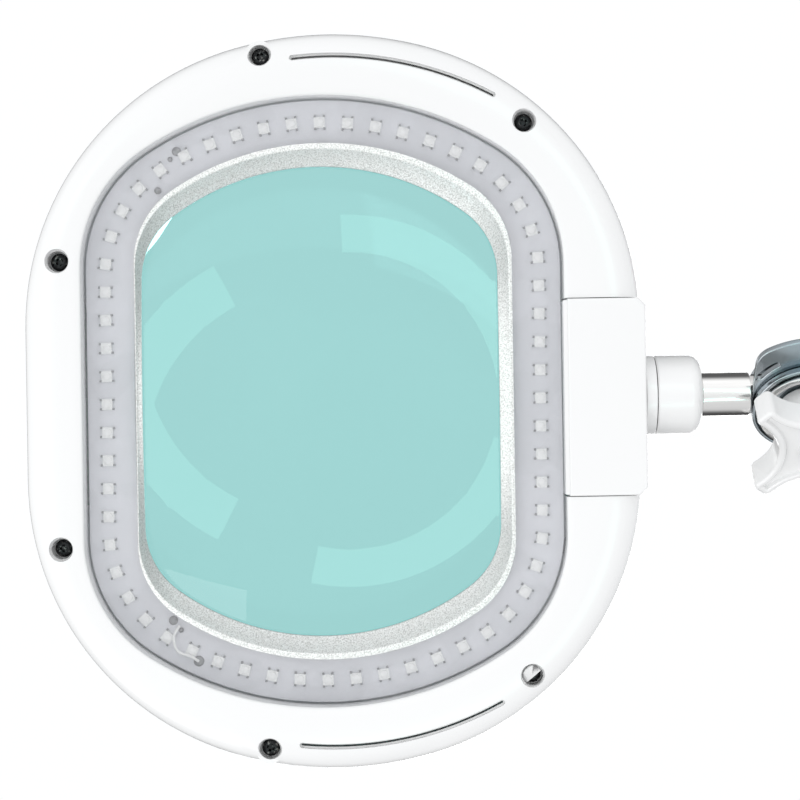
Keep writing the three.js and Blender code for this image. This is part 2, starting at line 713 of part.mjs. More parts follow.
function buildNeck(group) {
  addNode(group, 'neck_hub', neckHub(), WHITE_PLASTIC);
  const spindle = turnedAboutX(rod(SPINDLE_RADIUS, HUB_END + 3 + GAP, TILT_TO_HEAD - 96));
  addNode(group, 'neck_spindle', spindle, ZINC);
  addNode(group, 'spindle_nut', spindleNut(), ZINC);
  addNode(group, 'neck_rod', neckRod(), CHROME);
  addNode(group, 'fork_plate_near', plate(nearForkShape(), -PLATE_OUT, -PLATE_IN), ZINC);
  addNode(group, 'fork_plate_far', plate(farForkShape(), PLATE_IN, PLATE_OUT), ZINC);
  addNode(group, 'tilt_cup_washer', cupWasher(), ZINC);
  addNode(group, 'tilt_friction_ring', frictionRing(), CHROME);
  addNode(group, 'tilt_far_washer', farWasher(), ZINC);
  addNode(group, 'tilt_bolt', tiltBolt(), ZINC);
  addNode(group, 'tilt_knob', tiltKnob(), WHITE_PLASTIC);
}

// ---- Arm ----------------------------------------------------------------------------------

// A rail: an inverted channel with flattened, drilled ends, laid along +X from its first pivot.
function rail(length, angle, at) {
  const start = RAIL.lugLength;
  const end = length - RAIL.lugLength;
  const [half, side, wall] = [RAIL.height / 2, RAIL.width / 2, RAIL.wall];
  const channel = box(start, end, -side, side, -half, half)
    .subtract(box(start + 3, end - 3, wall - side, side - wall, -half - 1, half - wall));
  const lugs = [[0, start + 1], [length, end - 1]].map(([pivot, root]) => {
    const shape = new THREE.Shape();
    const toRoot = Math.sign(root - pivot);
    const open = toRoot > 0 ? Math.PI / 2 : -Math.PI / 2;
    const narrow = RAIL.lugRadius - 2;
    shape.absarc(pivot, 0, RAIL.lugRadius, open, open + Math.PI, false);
    shape.lineTo(root, -toRoot * narrow);
    shape.lineTo(root, toRoot * narrow);
    shape.closePath();
    shape.holes.push(new THREE.Path(circlePath(pivot, 0, PIN_RADIUS + GAP)));
    return plate(shape, -TONGUE_HALF, TONGUE_HALF);
  });
  return channel.add(joined(lugs))
    .rotate([0, -THREE.MathUtils.radToDeg(angle), 0])
    .translate([at.x, 0, at.y]);
}

// A spring's outer shape, inside its rail's channel.
function spring(length, angle, at) {
  return turnedAboutX(rod(3.6, RAIL.lugLength + 12, length * 0.52), 12)
    .translate([0, 0, -0.9])
    .rotate([0, -THREE.MathUtils.radToDeg(angle), 0])
    .translate([at.x, 0, at.y]);
}

function pivotPin(at) {
  const [head, cap] = [PLATE_OUT + GAP, 5.2];
  const half = [[PIN_RADIUS, head], [cap, head], [cap, head + 1], [cap - 1.4, head + 2.2], [0, head + 2.2]];
  const profile = [...half.map(([r, y]) => [r, -y]).reverse(), ...half];
  return turnedAboutY(profile, 12).translate([at.x, 0, at.y]);
}

function drilled(circles, pivots) {
  const shape = hullShape(circles);
  pivots.forEach((at) => shape.holes.push(new THREE.Path(circlePath(at.x, at.y, PIN_RADIUS + GAP))));
  return shape;
}

const across = new THREE.Vector2(RAIL_SPACING, 0);
const downward = new THREE.Vector2(0, -RAIL_SPACING);
const lowerRun = new THREE.Vector2(Math.cos(LOWER_ANGLE), Math.sin(LOWER_ANGLE)).multiplyScalar(LOWER_LENGTH);
const upperRun = new THREE.Vector2(Math.cos(UPPER_ANGLE), Math.sin(UPPER_ANGLE)).multiplyScalar(UPPER_LENGTH);
const baseMain = BASE_PIVOT;
const baseLink = baseMain.clone().add(across);
const elbowMain = baseMain.clone().add(lowerRun);
const elbowLink = elbowMain.clone().add(across);
const upperMain = elbowMain.clone().add(new THREE.Vector2(RAIL_SPACING / 2, ELBOW_RISE));
const upperLink = upperMain.clone().add(downward);
const headMain = upperMain.clone().add(upperRun);
const headLink = headMain.clone().add(downward);
const tiltPivot = headMain.clone().add(TILT_FROM_ARM);

function baseBracket() {
  const foot = 52;
  const circles = [[baseMain.x + 2, foot + 8, 8], [baseLink.x - 2, foot + 8, 8], [...baseLink, PLATE_EDGE],
    [...baseMain, PLATE_EDGE]];
  const shape = drilled(circles, [baseMain, baseLink]);
  return joined([plate(shape, -PLATE_OUT, -PLATE_IN), plate(shape, PLATE_IN, PLATE_OUT)])
    .add(box(-20, 20, -PLATE_OUT, PLATE_OUT, foot, foot + 9));
}

function elbowPlate(low, high) {
  const circles = [elbowMain, elbowLink, upperMain].map((at) => [...at, PLATE_EDGE]);
  return plate(drilled(circles, [elbowMain, elbowLink, upperMain, upperLink]), low, high);
}

function headPlate(low, high) {
  const circles = [headLink, headMain].map((at) => [...at, PLATE_EDGE]);
  return plate(drilled(circles, [headMain, headLink]), low, high);
}

// The tongue between the head plates, round the tilt bolt at its far end.
function tiltTongue() {
  const middle = (headMain.y + headLink.y) / 2;
  const shape = hullShape([[headMain.x + 4, middle, 5.5], [tiltPivot.x, tiltPivot.y, 13.8]]);
  shape.holes.push(new THREE.Path(circlePath(tiltPivot.x, tiltPivot.y, BOLT_RADIUS + GAP)));
  return plate(shape, -TONGUE_HALF, TONGUE_HALF);
}

function buildArm(group) {
  addNode(group, 'base_bracket', baseBracket(), ZINC);
  addNode(group, 'lower_rail', rail(LOWER_LENGTH, LOWER_ANGLE, baseMain), WHITE_ENAMEL);
  addNode(group, 'lower_spring', spring(LOWER_LENGTH, LOWER_ANGLE, baseMain), SPRING_STEEL);
  addNode(group, 'lower_link_rail', rail(LOWER_LENGTH, LOWER_ANGLE, baseLink), WHITE_ENAMEL);
  addNode(group, 'elbow_plate_near', elbowPlate(-PLATE_OUT, -PLATE_IN), ZINC);
  addNode(group, 'elbow_plate_far', elbowPlate(PLATE_IN, PLATE_OUT), ZINC);
  addNode(group, 'upper_rail', rail(UPPER_LENGTH, UPPER_ANGLE, upperMain), WHITE_ENAMEL);
  addNode(group, 'upper_spring', spring(UPPER_LENGTH, UPPER_ANGLE, upperMain), SPRING_STEEL);
  addNode(group, 'upper_link_rail', rail(UPPER_LENGTH, UPPER_ANGLE, upperLink), WHITE_ENAMEL);
  addNode(group, 'head_plate_near', headPlate(-PLATE_OUT, -PLATE_IN), ZINC);
  addNode(group, 'head_plate_far', headPlate(PLATE_IN, PLATE_OUT), ZINC);
  addNode(group, 'tilt_tongue', tiltTongue(), ZINC);
  const pins = {
    base_pin_1: baseMain, base_pin_2: baseLink,
    elbow_pin_1: elbowMain, elbow_pin_2: elbowLink, elbow_pin_3: upperMain, elbow_pin_4: upperLink,
    head_pin_1: headMain, head_pin_2: headLink,
  };
  Object.entries(pins).forEach(([name, at]) => addNode(group, name, pivotPin(at), ZINC));
}

// ---- Table clamp --------------------------------------------------------------------------

function clampFrame() {
  const { back, front, inside, top, bottom, low, halfWidth, corner } = JAW;
  const shape = new THREE.Shape();
  shape.absarc(back + corner, top - corner, corner, Math.PI / 2, Math.PI, false);
  shape.absarc(back + corner, bottom + corner, corner, Math.PI, Math.PI * 1.5, false);
  shape.lineTo(front - 8, bottom);
  shape.lineTo(front - 8, low);
  shape.lineTo(inside, low);
  shape.lineTo(inside, 0);
  shape.lineTo(front, 0);
  shape.lineTo(front, top);
  shape.closePath();
  return plate(shape, -halfWidth, halfWidth)
    .add(turnedAboutZ(rod(SOCKET.radius, top - 1, SOCKET.top)))
    .add(turnedAboutZ(rod(SCREW.bossRadius, SCREW.bossEnd, bottom + 1)).translate([SCREW.x, 0, 0]))
    .subtract(turnedAboutZ(rod(POST_RADIUS + GAP, SOCKET.floor, SOCKET.top + 5)))
    .subtract(turnedAboutZ(rod(SCREW.radius + GAP, SCREW.bossEnd - 5, low + 5)).translate([SCREW.x, 0, 0]));
}

function buildClamp(group) {
  addNode(group, 'clamp_frame', clampFrame(), CAST_ENAMEL);
  const post = [[0, SOCKET.floor + 1], [POST_RADIUS, SOCKET.floor + 1], [POST_RADIUS, SOCKET.top + GAP],
    [12, SOCKET.top + GAP], [12, 51.7], [0, 51.7]];
  addNode(group, 'base_post', turnedAboutZ(post), ZINC);
  const [thread, core] = [SCREW.radius, SCREW.radius - 1];
  const screw = [[0, SCREW.end], [core, SCREW.end], [core, CLAMP_KNOB_TOP + 1], [thread, CLAMP_KNOB_TOP + 1],
    [thread, SCREW.tip - 1], [core, SCREW.tip], [0, SCREW.tip]];
  addNode(group, 'clamp_screw', turnedAboutZ(screw).translate([SCREW.x, 0, 0]), ZINC);
  const pad = [[0, PAD.top], [PAD.radius, PAD.top], [PAD.radius, PAD.bottom], [PAD.hubRadius, PAD.bottom],
    [PAD.hubRadius, PAD.hubEnd], [SCREW.radius + GAP, PAD.hubEnd], [SCREW.radius + GAP, SCREW.tip + 0.5],
    [0, SCREW.tip + 0.5]];
  addNode(group, 'clamp_pad', turnedAboutZ(pad).translate([SCREW.x, 0, 0]), BLACK_PLASTIC);
  const bore = turnedAboutZ(rod(SCREW.radius - 1 + GAP, SCREW.end - GAP, CLAMP_KNOB_TOP + 5));
  const grip = slab(knobShape(), CLAMP_KNOB_TOP - KNOB.thick, CLAMP_KNOB_TOP).subtract(bore);
  addNode(group, 'clamp_knob', grip.translate([SCREW.x, 0, 0]), WHITE_PLASTIC);
}

// ---- Assembly -----------------------------------------------------------------------------

const headTurn = THREE.MathUtils.degToRad(HEAD_TURN_DEG);
const towardsArm = new THREE.Vector3(-1, 0, 0);
const headUp = new THREE.Vector3(0, Math.sin(headTurn), -Math.cos(headTurn));
const lightSide = new THREE.Vector3(0, -Math.cos(headTurn), -Math.sin(headTurn));

const head = new THREE.Group();
head.position.set(tiltPivot.x + TILT_TO_HEAD, 0, tiltPivot.y);
head.quaternion.setFromRotationMatrix(new THREE.Matrix4().makeBasis(towardsArm, headUp, lightSide));
buildHead(head);

const neck = new THREE.Group();
neck.position.set(tiltPivot.x, 0, tiltPivot.y);
buildNeck(neck);

const arm = new THREE.Group();
buildArm(arm);
buildClamp(arm);

lamp.add(head, neck, arm);

export default lamp;
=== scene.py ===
"""Clamp-on magnifying lamp, built as an add-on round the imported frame.

Head pieces are laid out flat in the head's own millimetres (x towards the arm, z towards the light
side), neck pieces run along x from the tilt pivot, and arm and clamp pieces use the row frame's
axes. One placing matrix for each of the three brings them into the shared frame in metres.
"""
import json
import math

import bmesh
import bpy
from bpy.props import FloatProperty, FloatVectorProperty, IntProperty, PointerProperty
from mathutils import Matrix, Vector

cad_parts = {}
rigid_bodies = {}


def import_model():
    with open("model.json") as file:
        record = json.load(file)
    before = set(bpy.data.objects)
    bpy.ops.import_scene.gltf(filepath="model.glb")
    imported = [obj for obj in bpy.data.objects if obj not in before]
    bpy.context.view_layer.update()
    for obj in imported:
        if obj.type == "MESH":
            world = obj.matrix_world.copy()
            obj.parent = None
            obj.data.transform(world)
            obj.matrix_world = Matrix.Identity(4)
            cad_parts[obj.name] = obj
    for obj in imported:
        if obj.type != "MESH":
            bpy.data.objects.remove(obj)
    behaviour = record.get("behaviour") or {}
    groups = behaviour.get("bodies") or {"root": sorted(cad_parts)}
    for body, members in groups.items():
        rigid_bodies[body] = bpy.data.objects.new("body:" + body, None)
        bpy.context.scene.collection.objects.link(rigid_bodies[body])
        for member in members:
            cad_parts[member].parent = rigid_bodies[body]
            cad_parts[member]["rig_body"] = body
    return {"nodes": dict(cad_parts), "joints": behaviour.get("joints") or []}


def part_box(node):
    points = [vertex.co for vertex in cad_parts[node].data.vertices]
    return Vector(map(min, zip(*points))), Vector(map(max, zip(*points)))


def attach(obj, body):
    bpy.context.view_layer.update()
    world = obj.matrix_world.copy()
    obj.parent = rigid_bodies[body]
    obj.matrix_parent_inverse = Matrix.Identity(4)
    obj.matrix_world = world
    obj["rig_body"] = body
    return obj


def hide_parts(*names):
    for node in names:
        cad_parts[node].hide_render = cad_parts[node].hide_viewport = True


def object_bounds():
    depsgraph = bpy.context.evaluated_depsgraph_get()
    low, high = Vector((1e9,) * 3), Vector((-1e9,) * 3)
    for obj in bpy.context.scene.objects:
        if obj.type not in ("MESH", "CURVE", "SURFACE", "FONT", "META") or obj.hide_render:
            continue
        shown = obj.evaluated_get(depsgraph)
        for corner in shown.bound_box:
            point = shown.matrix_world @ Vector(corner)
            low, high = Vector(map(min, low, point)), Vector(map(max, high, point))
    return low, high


bl_info = {
    "name": "Magnifying Lamp",
    "version": (1, 0, 0),
    "blender": (4, 5, 0),
    "location": "3D View > Sidebar > Magnifier",
    "description": "Builds the visible pieces of a clamp-on magnifying lamp",
    "category": "Object",
}

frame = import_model()
CAD_LOW, CAD_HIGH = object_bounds()
NODES = frame["nodes"]
JOINTS = {joint["name"]: joint for joint in frame["joints"]}

# ---- Places, from the frame ----------------------------------------------------------------

MM = 0.001
GAP = 0.3
HINGE = {"x": 104, "z": -25.4, "radius": 4.5, "ear_from": 22, "ear_to": 30, "pin": 1.9}


def pivot(name):
    """A joint's point in row-frame millimetres."""
    return Vector(JOINTS[name]["pos_m"]) / MM


def head_place():
    """The head's own millimetres to the row frame, from its roll and cover joints."""
    x_axis = -Vector(JOINTS["head_roll"]["axis"]).normalized()
    y_axis = Vector(JOINTS["cover_hinge"]["axis"]).normalized()
    z_axis = x_axis.cross(y_axis)
    turn = Matrix((x_axis, y_axis, z_axis)).transposed()
    origin = pivot("cover_hinge") - turn @ Vector((HINGE["x"], 0, HINGE["z"]))
    return Matrix.Scale(MM, 4) @ Matrix.Translation(origin) @ turn.to_4x4()


HEAD = head_place()
TILT = pivot("neck_tilt")
NECK = Matrix.Scale(MM, 4) @ Matrix.Translation(TILT)
ARM = Matrix.Scale(MM, 4)
TILT_TO_HEAD = (HEAD.translation / MM - TILT).x
LIGHT_SIDE = (HEAD.to_3x3() @ Vector((0, 0, 1))).normalized()
HEAD_UP = (HEAD.to_3x3() @ Vector((0, 1, 0))).normalized()
HEAD_RIGHT = (HEAD.to_3x3() @ Vector((1, 0, 0))).normalized()

# ---- Driving sizes, in millimetres ---------------------------------------------------------

# Flat ovals: centre x, half width, half height, end radius, corner radius.
CASING = (0, 119.6, 142.7, 142.7, 113)
OPENING = (-3.6, 93.1, 118, 125.5, 54.5)
BEZEL = (-3.7, 73.1, 99.3, 104, 34)
LENS_SIGHT = (-5, 69.4, 91.7, 96.7, 30.4)
COVER_FLAP = (-5, 84, 106, 112, 46)
LED_PATH = (-4, 84.5, 108.7, 120, 50)

CREST_Z = 17
BACK_Z = -20
BOARD_TOP = 4.6
COVER_TOP = 9.5
WELL_FLOOR = 7
WELL = {"radius": 4.0, "lip": 0.7, "mouth": 15.6, "boss": 5.6, "boss_top": 5.2}
SCREWS = tuple(
    (x, side * y) for x, y in ((-26.5, 134), (75.2, 106.9), (-105.6, 55.5)) for side in (1, -1))
VENT = {"radius": 133, "width": 2.2, "slit": 0.8, "floor": 14.2, "start": -6, "end": 28.4}
LENS = {"radius": 347, "mid": -1, "half": 15, "margin": 3}
BLOCK = {"inner": 90.5, "outer": 120.6, "half": 38, "front": 18, "back": -20.2, "chamfer": 3, "wall": 3}
LIP = {"inner": 88.9, "low": 10.4, "high": 17.2}
BUTTON = (97, -60)
INLET = (0, 26, -10)
SPINDLE_BORE = 5.6

# Where solder blobs sit on the ring board (x, y, radius), and the wire link's route between two of them.
BOARD_BLOBS = ((-60, 98.3, 1.9), (-67.5, 83.1, 1.5), (-64, -84.6, 1.9), (-54.3, -100.6, 2.2),
               (-62.5, 95.2, 1.1), (-61, -88.4, 1.1))
WIRE_LINK = ((-61.5, -86.5, 5.6), (-63.8, -91, 6.4), (-62.3, -96.5, 6.6), (-57.5, -98.5, 6.5),
             (-54.3, -100.6, 5.8))

PLATE_IN, PLATE_OUT, TONGUE_HALF = 3.1, 5.7, 2.8
BOLT_RADIUS = 4
FORK_SLOT = {"centre": (2, -4), "radius": 21, "half": 1.3, "start": -55, "end": -31}
KNOB = {"tip": 29.64, "centre": 24.7, "side": 20.64, "round": 2.6, "low": 19, "thick": 12.7, "turn": 49.3}
RAIL = {"half": 7, "side": 6, "wall": 1.5, "lug": 26, "lug_radius": 8}
PIN_RADIUS = 3
SCREW_X = pivot("clamp_screw_turn").x

# The camera in the head's own millimetres, its lens in millimetres and its roll in degrees.
CAMERA = (25.7, 0, 850)
CAMERA_LENS = 97.5
CAMERA_ROLL = 0.9

# The bands of light in the lens: centre x and y, inner and outer radius, start and end in degrees.
LIGHT_BANDS = ((6.2, 0, 57.7, 72.5, 8, 92), (6.2, 0, 57.7, 72.5, -103, -15),
               (-7.5, -21.5, 66, 84, 117, 172), (-7.5, 21.5, 66, 84, 188, 243))
LIGHT_CARD_Z = 420
LIGHT_CARD_STEPS = 24
FLOOR_HALF = 6.0
FLOOR_DROP = 0.003


# ---- Node helpers --------------------------------------------------------------------------


class Value:
    """A node's output that can stand in a Python expression."""

    def __init__(self, graph, socket):
        self.graph = graph
        self.socket = socket

    def __add__(self, other):
        return self.graph.maths("ADD", self, other)

    def __sub__(self, other):
        return self.graph.maths("SUBTRACT", self, other)

    def __rsub__(self, other):
        return self.graph.maths("SUBTRACT", other, self)

    def __mul__(self, other):
        return self.graph.maths("MULTIPLY", self, other)

    __radd__ = __add__
    __rmul__ = __mul__


class Graph:
    """A node tree with one way of adding any node."""

    def __init__(self, tree):
        self.tree = tree

    def feed(self, socket, value):
        if isinstance(value, Value):
            self.tree.links.new(value.socket, socket)
        else:
            socket.default_value = value

    def node(self, kind, settings=None, values=None, result=0):
        made = self.tree.nodes.new(kind)
        for name, setting in (settings or {}).items():
            if name == "stops":
                ramp = made.color_ramp.elements
                for place, _ in setting[1:-1]:
                    ramp.new(place)
                for element, (place, colour) in zip(ramp, setting):
                    element.position = place
                    element.color = colour
            else:
                setattr(made, name, setting)
        for key, value in (values or {}).items():
            self.feed(made.inputs[key], value)
        return Value(self, made.outputs[result])

    def maths(self, operation, first, second):
        return self.node("ShaderNodeMath", {"operation": operation}, {0: first, 1: second})


class Look(Graph):
    """A material whose Principled shader starts from constant settings."""

    def __init__(self, name, settings):
        self.material = bpy.data.materials.new(f"{name}_finish")
        self.material.use_nodes = True
        super().__init__(self.material.node_tree)
        self.shader = self.tree.nodes["Principled BSDF"]
        for socket, value in settings.items():
            self.shader.inputs[socket].default_value = value

    def drive(self, socket, value):
        self.feed(self.shader.inputs[socket], value)

    def noise(self, scale, detail=2.0, stretch=(1, 1, 1), turn=(0, 0, 0)):
        place = self.node("ShaderNodeTexCoord", result="Object")
        place = self.node("ShaderNodeMapping", None, {"Vector": place, "Scale": stretch, "Rotation": turn})
        return self.node("ShaderNodeTexNoise", None, {"Vector": place, "Scale": scale, "Detail": detail})

    def ramp(self, value, low, high):
        """0 below low, 1 above high, smooth between."""
        settings = {"interpolation_type": "SMOOTHSTEP"}
        return self.node("ShaderNodeMapRange", settings, {"Value": value, "From Min": low, "From Max": high})

    def mix(self, mask, first, second):
        return self.node("ShaderNodeMix", {"data_type": "RGBA"}, {0: mask, 6: first, 7: second}, 2)

    def bump(self, height, strength, distance=0.0004):
        values = {"Height": height, "Strength": strength, "Distance": distance}
        self.drive("Normal", self.node("ShaderNodeBump", None, values))


def rgba(colour, share=1.0):
    return (*(min(part * share, 1.0) for part in colour), 1.0)


# ---- Finishes ------------------------------------------------------------------------------


def white_plastic(colours):
    look = Look("white_plastic", {"Coat Roughness": 0.07, "IOR": 1.5})
    cloud = look.noise(14, 3)
    grain = look.noise(900, 2)
    look.drive("Base Color", look.mix(cloud, rgba(colours.plastic, 0.99), rgba(colours.plastic, 1.005)))
    look.drive("Roughness", 0.2 + 0.04 * grain + 0.05 * cloud)
    look.drive("Coat Weight", 0.25 + 0.1 * cloud)
    look.bump(grain, 0.006)
    return look.material


def clear_cover(colours):
    look = Look("clear_cover", {"IOR": 1.46})
    frost = look.noise(900, 2)
    cloud = look.noise(30, 3)
    look.drive("Base Color", look.mix(cloud, rgba(colours.cover, 0.97), rgba(colours.cover, 1.04)))
    look.drive("Roughness", 0.26 + 0.18 * frost)
    look.drive("Alpha", 0.15 + 0.06 * cloud)
    look.bump(frost, 0.08, 0.0002)
    return look.material


def led_board(colours):
    look = Look("led_board", {"IOR": 1.45})
    mask = look.noise(160, 4)
    weave = look.noise(1200, 1, (1, 0.25, 1))
    tracks = look.ramp(look.noise(48, 1), 0.52, 0.54)
    shade = look.mix(mask, rgba(colours.board, 0.95), rgba(colours.board, 1.05))
    look.drive("Base Color", look.mix(tracks * 0.35, shade, rgba(colours.board, 0.86)))
    look.drive("Roughness", 0.42 + 0.2 * weave)
    look.bump(tracks + 0.2 * weave, 0.15, 0.0001)
    return look.material


def led_chip(colours):
    look = Look("led_chip", {"IOR": 1.5})
    grain = look.noise(700, 2)
    look.drive("Base Color", look.mix(grain, (0.96, 0.96, 0.94, 1), (1, 1, 0.99, 1)))
    look.drive("Roughness", 0.3 + 0.15 * grain)
    return look.material


def led_mark(colours):
    look = Look("led_mark", {"Metallic": 0.6})
    grain = look.noise(900, 3)
    look.drive("Base Color", look.mix(grain, (0.2, 0.2, 0.21, 1), (0.42, 0.41, 0.4, 1)))
    look.drive("Roughness", 0.35 + 0.2 * grain)
    return look.material


def circuit_board(colours):
    look = Look("circuit_board", {"IOR": 1.5})
    tracks = look.ramp(look.noise(220, 1, (1, 3, 1)), 0.5, 0.53)
    look.drive("Base Color", look.mix(tracks, (0.03, 0.12, 0.06, 1), (0.07, 0.24, 0.12, 1)))
    look.drive("Roughness", 0.35 + 0.15 * look.noise(500))
    look.bump(tracks, 0.1, 0.0001)
    return look.material


def lens_glass(colours):
    settings = {"Transmission Weight": 1.0, "IOR": 1.5, "Specular IOR Level": 0.5}
    look = Look("lens_glass", settings)
    haze = look.noise(22, 4)
    look.drive("Base Color", look.mix(haze, rgba(colours.lens, 0.985), rgba(colours.lens, 1.015)))
    look.drive("Roughness", 0.012 * look.ramp(haze, 0.45, 0.75))
    return look.material


def bezel_silver(colours):
    look = Look("bezel_silver", {"IOR": 1.5, "Metallic": 0.35})
    flake = look.noise(1900, 1)
    # The brightest flakes get pure white base colour: painted glints, a painted highlight sparkle standing in
    # for light caught by the flakes; these spots are also made less rough.
    painted_glint = look.ramp(flake, 0.54, 0.62)
    pit = 1 - look.ramp(flake, 0.38, 0.46)
    shade = look.mix(pit * 0.5, rgba(colours.bezel), rgba(colours.bezel, 0.5))
    look.drive("Base Color", look.mix(painted_glint * 0.6, shade, (1, 1, 1, 1)))
    look.drive("Roughness", 0.5 - 0.22 * painted_glint)
    look.bump(flake, 0.3, 0.0003)
    return look.material


def steel(name, colour, rough, stretch, tint=0.0, grain_scale=260):
    """Bright metal with drawn grain, faint stains and small scratches."""
    look = Look(name, {"Metallic": 1.0})
    grain = look.noise(grain_scale, 3, stretch)
    stain = look.noise(28, 4)
    scratch = look.ramp(look.noise(90, 2, (stretch[1], stretch[0], stretch[2])), 0.62, 0.7)
    shade = look.mix(grain, rgba(colour, 0.9), rgba(colour, 1.08))
    cool = (colour[0] * 0.72, colour[1] * 0.98, colour[2] * 1.08, 1)
    look.drive("Base Color", look.mix(look.ramp(stain, 0.42, 0.7) * tint, shade, cool))
    look.drive("Roughness", rough + 0.14 * grain + 0.08 * stain + 0.1 * scratch)
    look.bump(grain + 0.4 * scratch, 0.06, 0.0001)
    return look.material


def zinc_steel(colours):
    return steel("zinc_steel", colours.zinc, 0.1, (9, 1, 1), 0.4)


def chrome(colours):
    return steel("chrome", colours.chrome, 0.02, (0.2, 6, 6), 0.0, 120)


def spring_steel(colours):
    return steel("spring_steel", colours.zinc, 0.22, (1, 6, 6), 0.2)


def black_screw(colours):
    look = Look("black_screw", {"Metallic": 1.0})
    wear = look.ramp(look.noise(700, 3), 0.56, 0.72)
    grain = look.noise(1500, 2)
    look.drive("Base Color", look.mix(wear, (0.035, 0.035, 0.037, 1), (0.3, 0.29, 0.28, 1)))
    look.drive("Roughness", 0.32 + 0.2 * grain)
    look.bump(grain, 0.08, 0.0001)
    return look.material


def black_plastic(colours):
    look = Look("black_plastic", {"IOR": 1.5})
    grain = look.noise(1100, 2)
    look.drive("Base Color", look.mix(grain, (0.014, 0.014, 0.015, 1), (0.032, 0.032, 0.033, 1)))
    look.drive("Roughness", 0.42 + 0.2 * grain)
    look.bump(grain, 0.22, 0.0002)
    return look.material


def white_enamel(colours):
    look = Look("white_enamel", {"IOR": 1.5, "Coat Roughness": 0.15})
    peel = look.noise(650, 2)
    cloud = look.noise(10, 3)
    speck = look.ramp(look.noise(300, 1), 0.76, 0.8)
    shade = look.mix(cloud, rgba(colours.enamel, 0.97), rgba(colours.enamel, 1.02))
    look.drive("Base Color", look.mix(speck * 0.3, shade, (0.5, 0.5, 0.48, 1)))
    look.drive("Roughness", 0.3 + 0.14 * peel)
    look.drive("Coat Weight", 0.15 + 0.15 * cloud)
    look.bump(peel, 0.16, 0.0002)
    return look.material


def floor_paint(colours):
    look = Look("floor_paint", {"IOR": 1.45})
    cloud = look.noise(1.6, 4)
    look.drive("Base Color", look.mix(cloud, (0.8, 0.8, 0.8, 1), (0.84, 0.84, 0.835, 1)))
    look.drive("Roughness", 0.7 + 0.1 * cloud)
    return look.material


FINISHES = {maker.__name__: maker for maker in (
    white_plastic, clear_cover, led_board, led_chip, led_mark, circuit_board, lens_glass, bezel_silver,
    zinc_steel, chrome, spring_steel, black_screw, black_plastic, white_enamel, floor_paint)}


def finish_of(name):
    found = bpy.data.materials.get(f"{name}_finish")
    return found or FINISHES[name](bpy.context.scene.magnifier_colours)


# ---- Outlines and profiles -----------------------------------------------------------------


def arc(centre, radius, start, end, steps):
    """Points of an arc in degrees, both ends included."""
    points = []
    for i in range(steps + 1):
        angle = math.radians(start + (end - start) * i / steps)
        points.append((centre[0] + radius * math.cos(angle), centre[1] + radius * math.sin(angle)))
    return points


def oval(shape, grow=0.0, side=10, corner=30, end=24):
    """A flat oval outline with equal numbers of points for every size, from +x round to +x."""
    centre_x, half_width, half_height, end_radius, corner_radius = shape
    half_width += grow
    half_height += grow
    end_radius += grow
    corner_radius += grow
    middle = half_height - end_radius
    cx = half_width - corner_radius
    cy = middle + math.sqrt((end_radius - corner_radius) ** 2 - cx ** 2)
    meet = math.degrees(math.atan2(cy - middle, cx))
    quarter = [(half_width, cy * i / side) for i in range(side)]
    quarter += arc((cx, cy), corner_radius, 0, meet, corner)[:-1]
    quarter += arc((0, middle), end_radius, meet, 90, end)
    half = quarter + [(-x, y) for x, y in reversed(quarter[:-1])]
    whole = half + [(x, -y) for x, y in reversed(half[1:-1])]
    return [(x + centre_x, y) for x, y in whole]


def grown(shape, by):
    """An oval's sizes moved out by a distance."""
    return (shape[0], *(part + by for part in shape[1:]))


def between(first, second, share):
    """An outline part of the way from one to another."""
    return [(a[0] + (b[0] - a[0]) * share, a[1] + (b[1] - a[1]) * share) for a, b in zip(first, second)]


def at_height(outline, z):
    return [Vector((x, y, z)) for x, y in outline]


def rounded(points, radius, steps=3, closed=False):
    """A polyline with its corners rounded off; first and last points stay if it is open."""
    points = [Vector(p) for p in points]
    count = len(points)
    result = []
    for i, point in enumerate(points):
        if not closed and i in (0, count - 1):
            result.append(point)
            continue
        before = points[i - 1] - point
        after = points[(i + 1) % count] - point
        if before.length < 1e-6 or after.length < 1e-6:
            continue
        reach = min(radius, 0.45 * before.length, 0.45 * after.length)
        start = point + before.normalized() * reach
        end = point + after.normalized() * reach
        for k in range(steps + 1):
            t = k / steps
            result.append(start * (1 - t) ** 2 + point * (2 * t * (1 - t)) + end * t ** 2)
    return result


def smooth_run(points, steps=6):
    """A Catmull-Rom curve through open points."""
    points = [Vector(p) for p in points]
    run = []
    for i in range(len(points) - 1):
        p0 = points[max(i - 1, 0)]
        p1, p2 = points[i], points[i + 1]
        p3 = points[min(i + 2, len(points) - 1)]
        for k in range(steps):
            t = k / steps
            run.append(0.5 * (2 * p1 + (p2 - p0) * t + (2 * p0 - 5 * p1 + 4 * p2 - p3) * t ** 2
                              + (3 * p1 - p0 - 3 * p2 + p3) * t ** 3))
    run.append(points[-1])
    return run


def circle(x, y, radius, steps=48):
    return arc((x, y), radius, 0, 360, steps)[:-1]


def arc_slot(centre, radius, half, start, end, steps, tip_steps):
    """The outline of a slot with round ends that follows an arc."""
    first, last = (arc(centre, radius, angle, angle, 1)[0] for angle in (start, end))
    outline = arc(centre, radius + half, start, end, steps)
    outline += arc(last, half, end, end + 180, tip_steps)[1:-1]
    outline += arc(centre, radius - half, end, start, steps)
    return outline + arc(first, half, start + 180, start + 360, tip_steps)[1:-1]


def distinct(points):
    """A closed outline without points that lie on each other."""
    kept = []
    for point in points:
        if not kept or math.dist(point, kept[-1]) > 1e-3:
            kept.append(point)
    if math.dist(kept[0], kept[-1]) < 1e-3:
        kept.pop()
    return kept


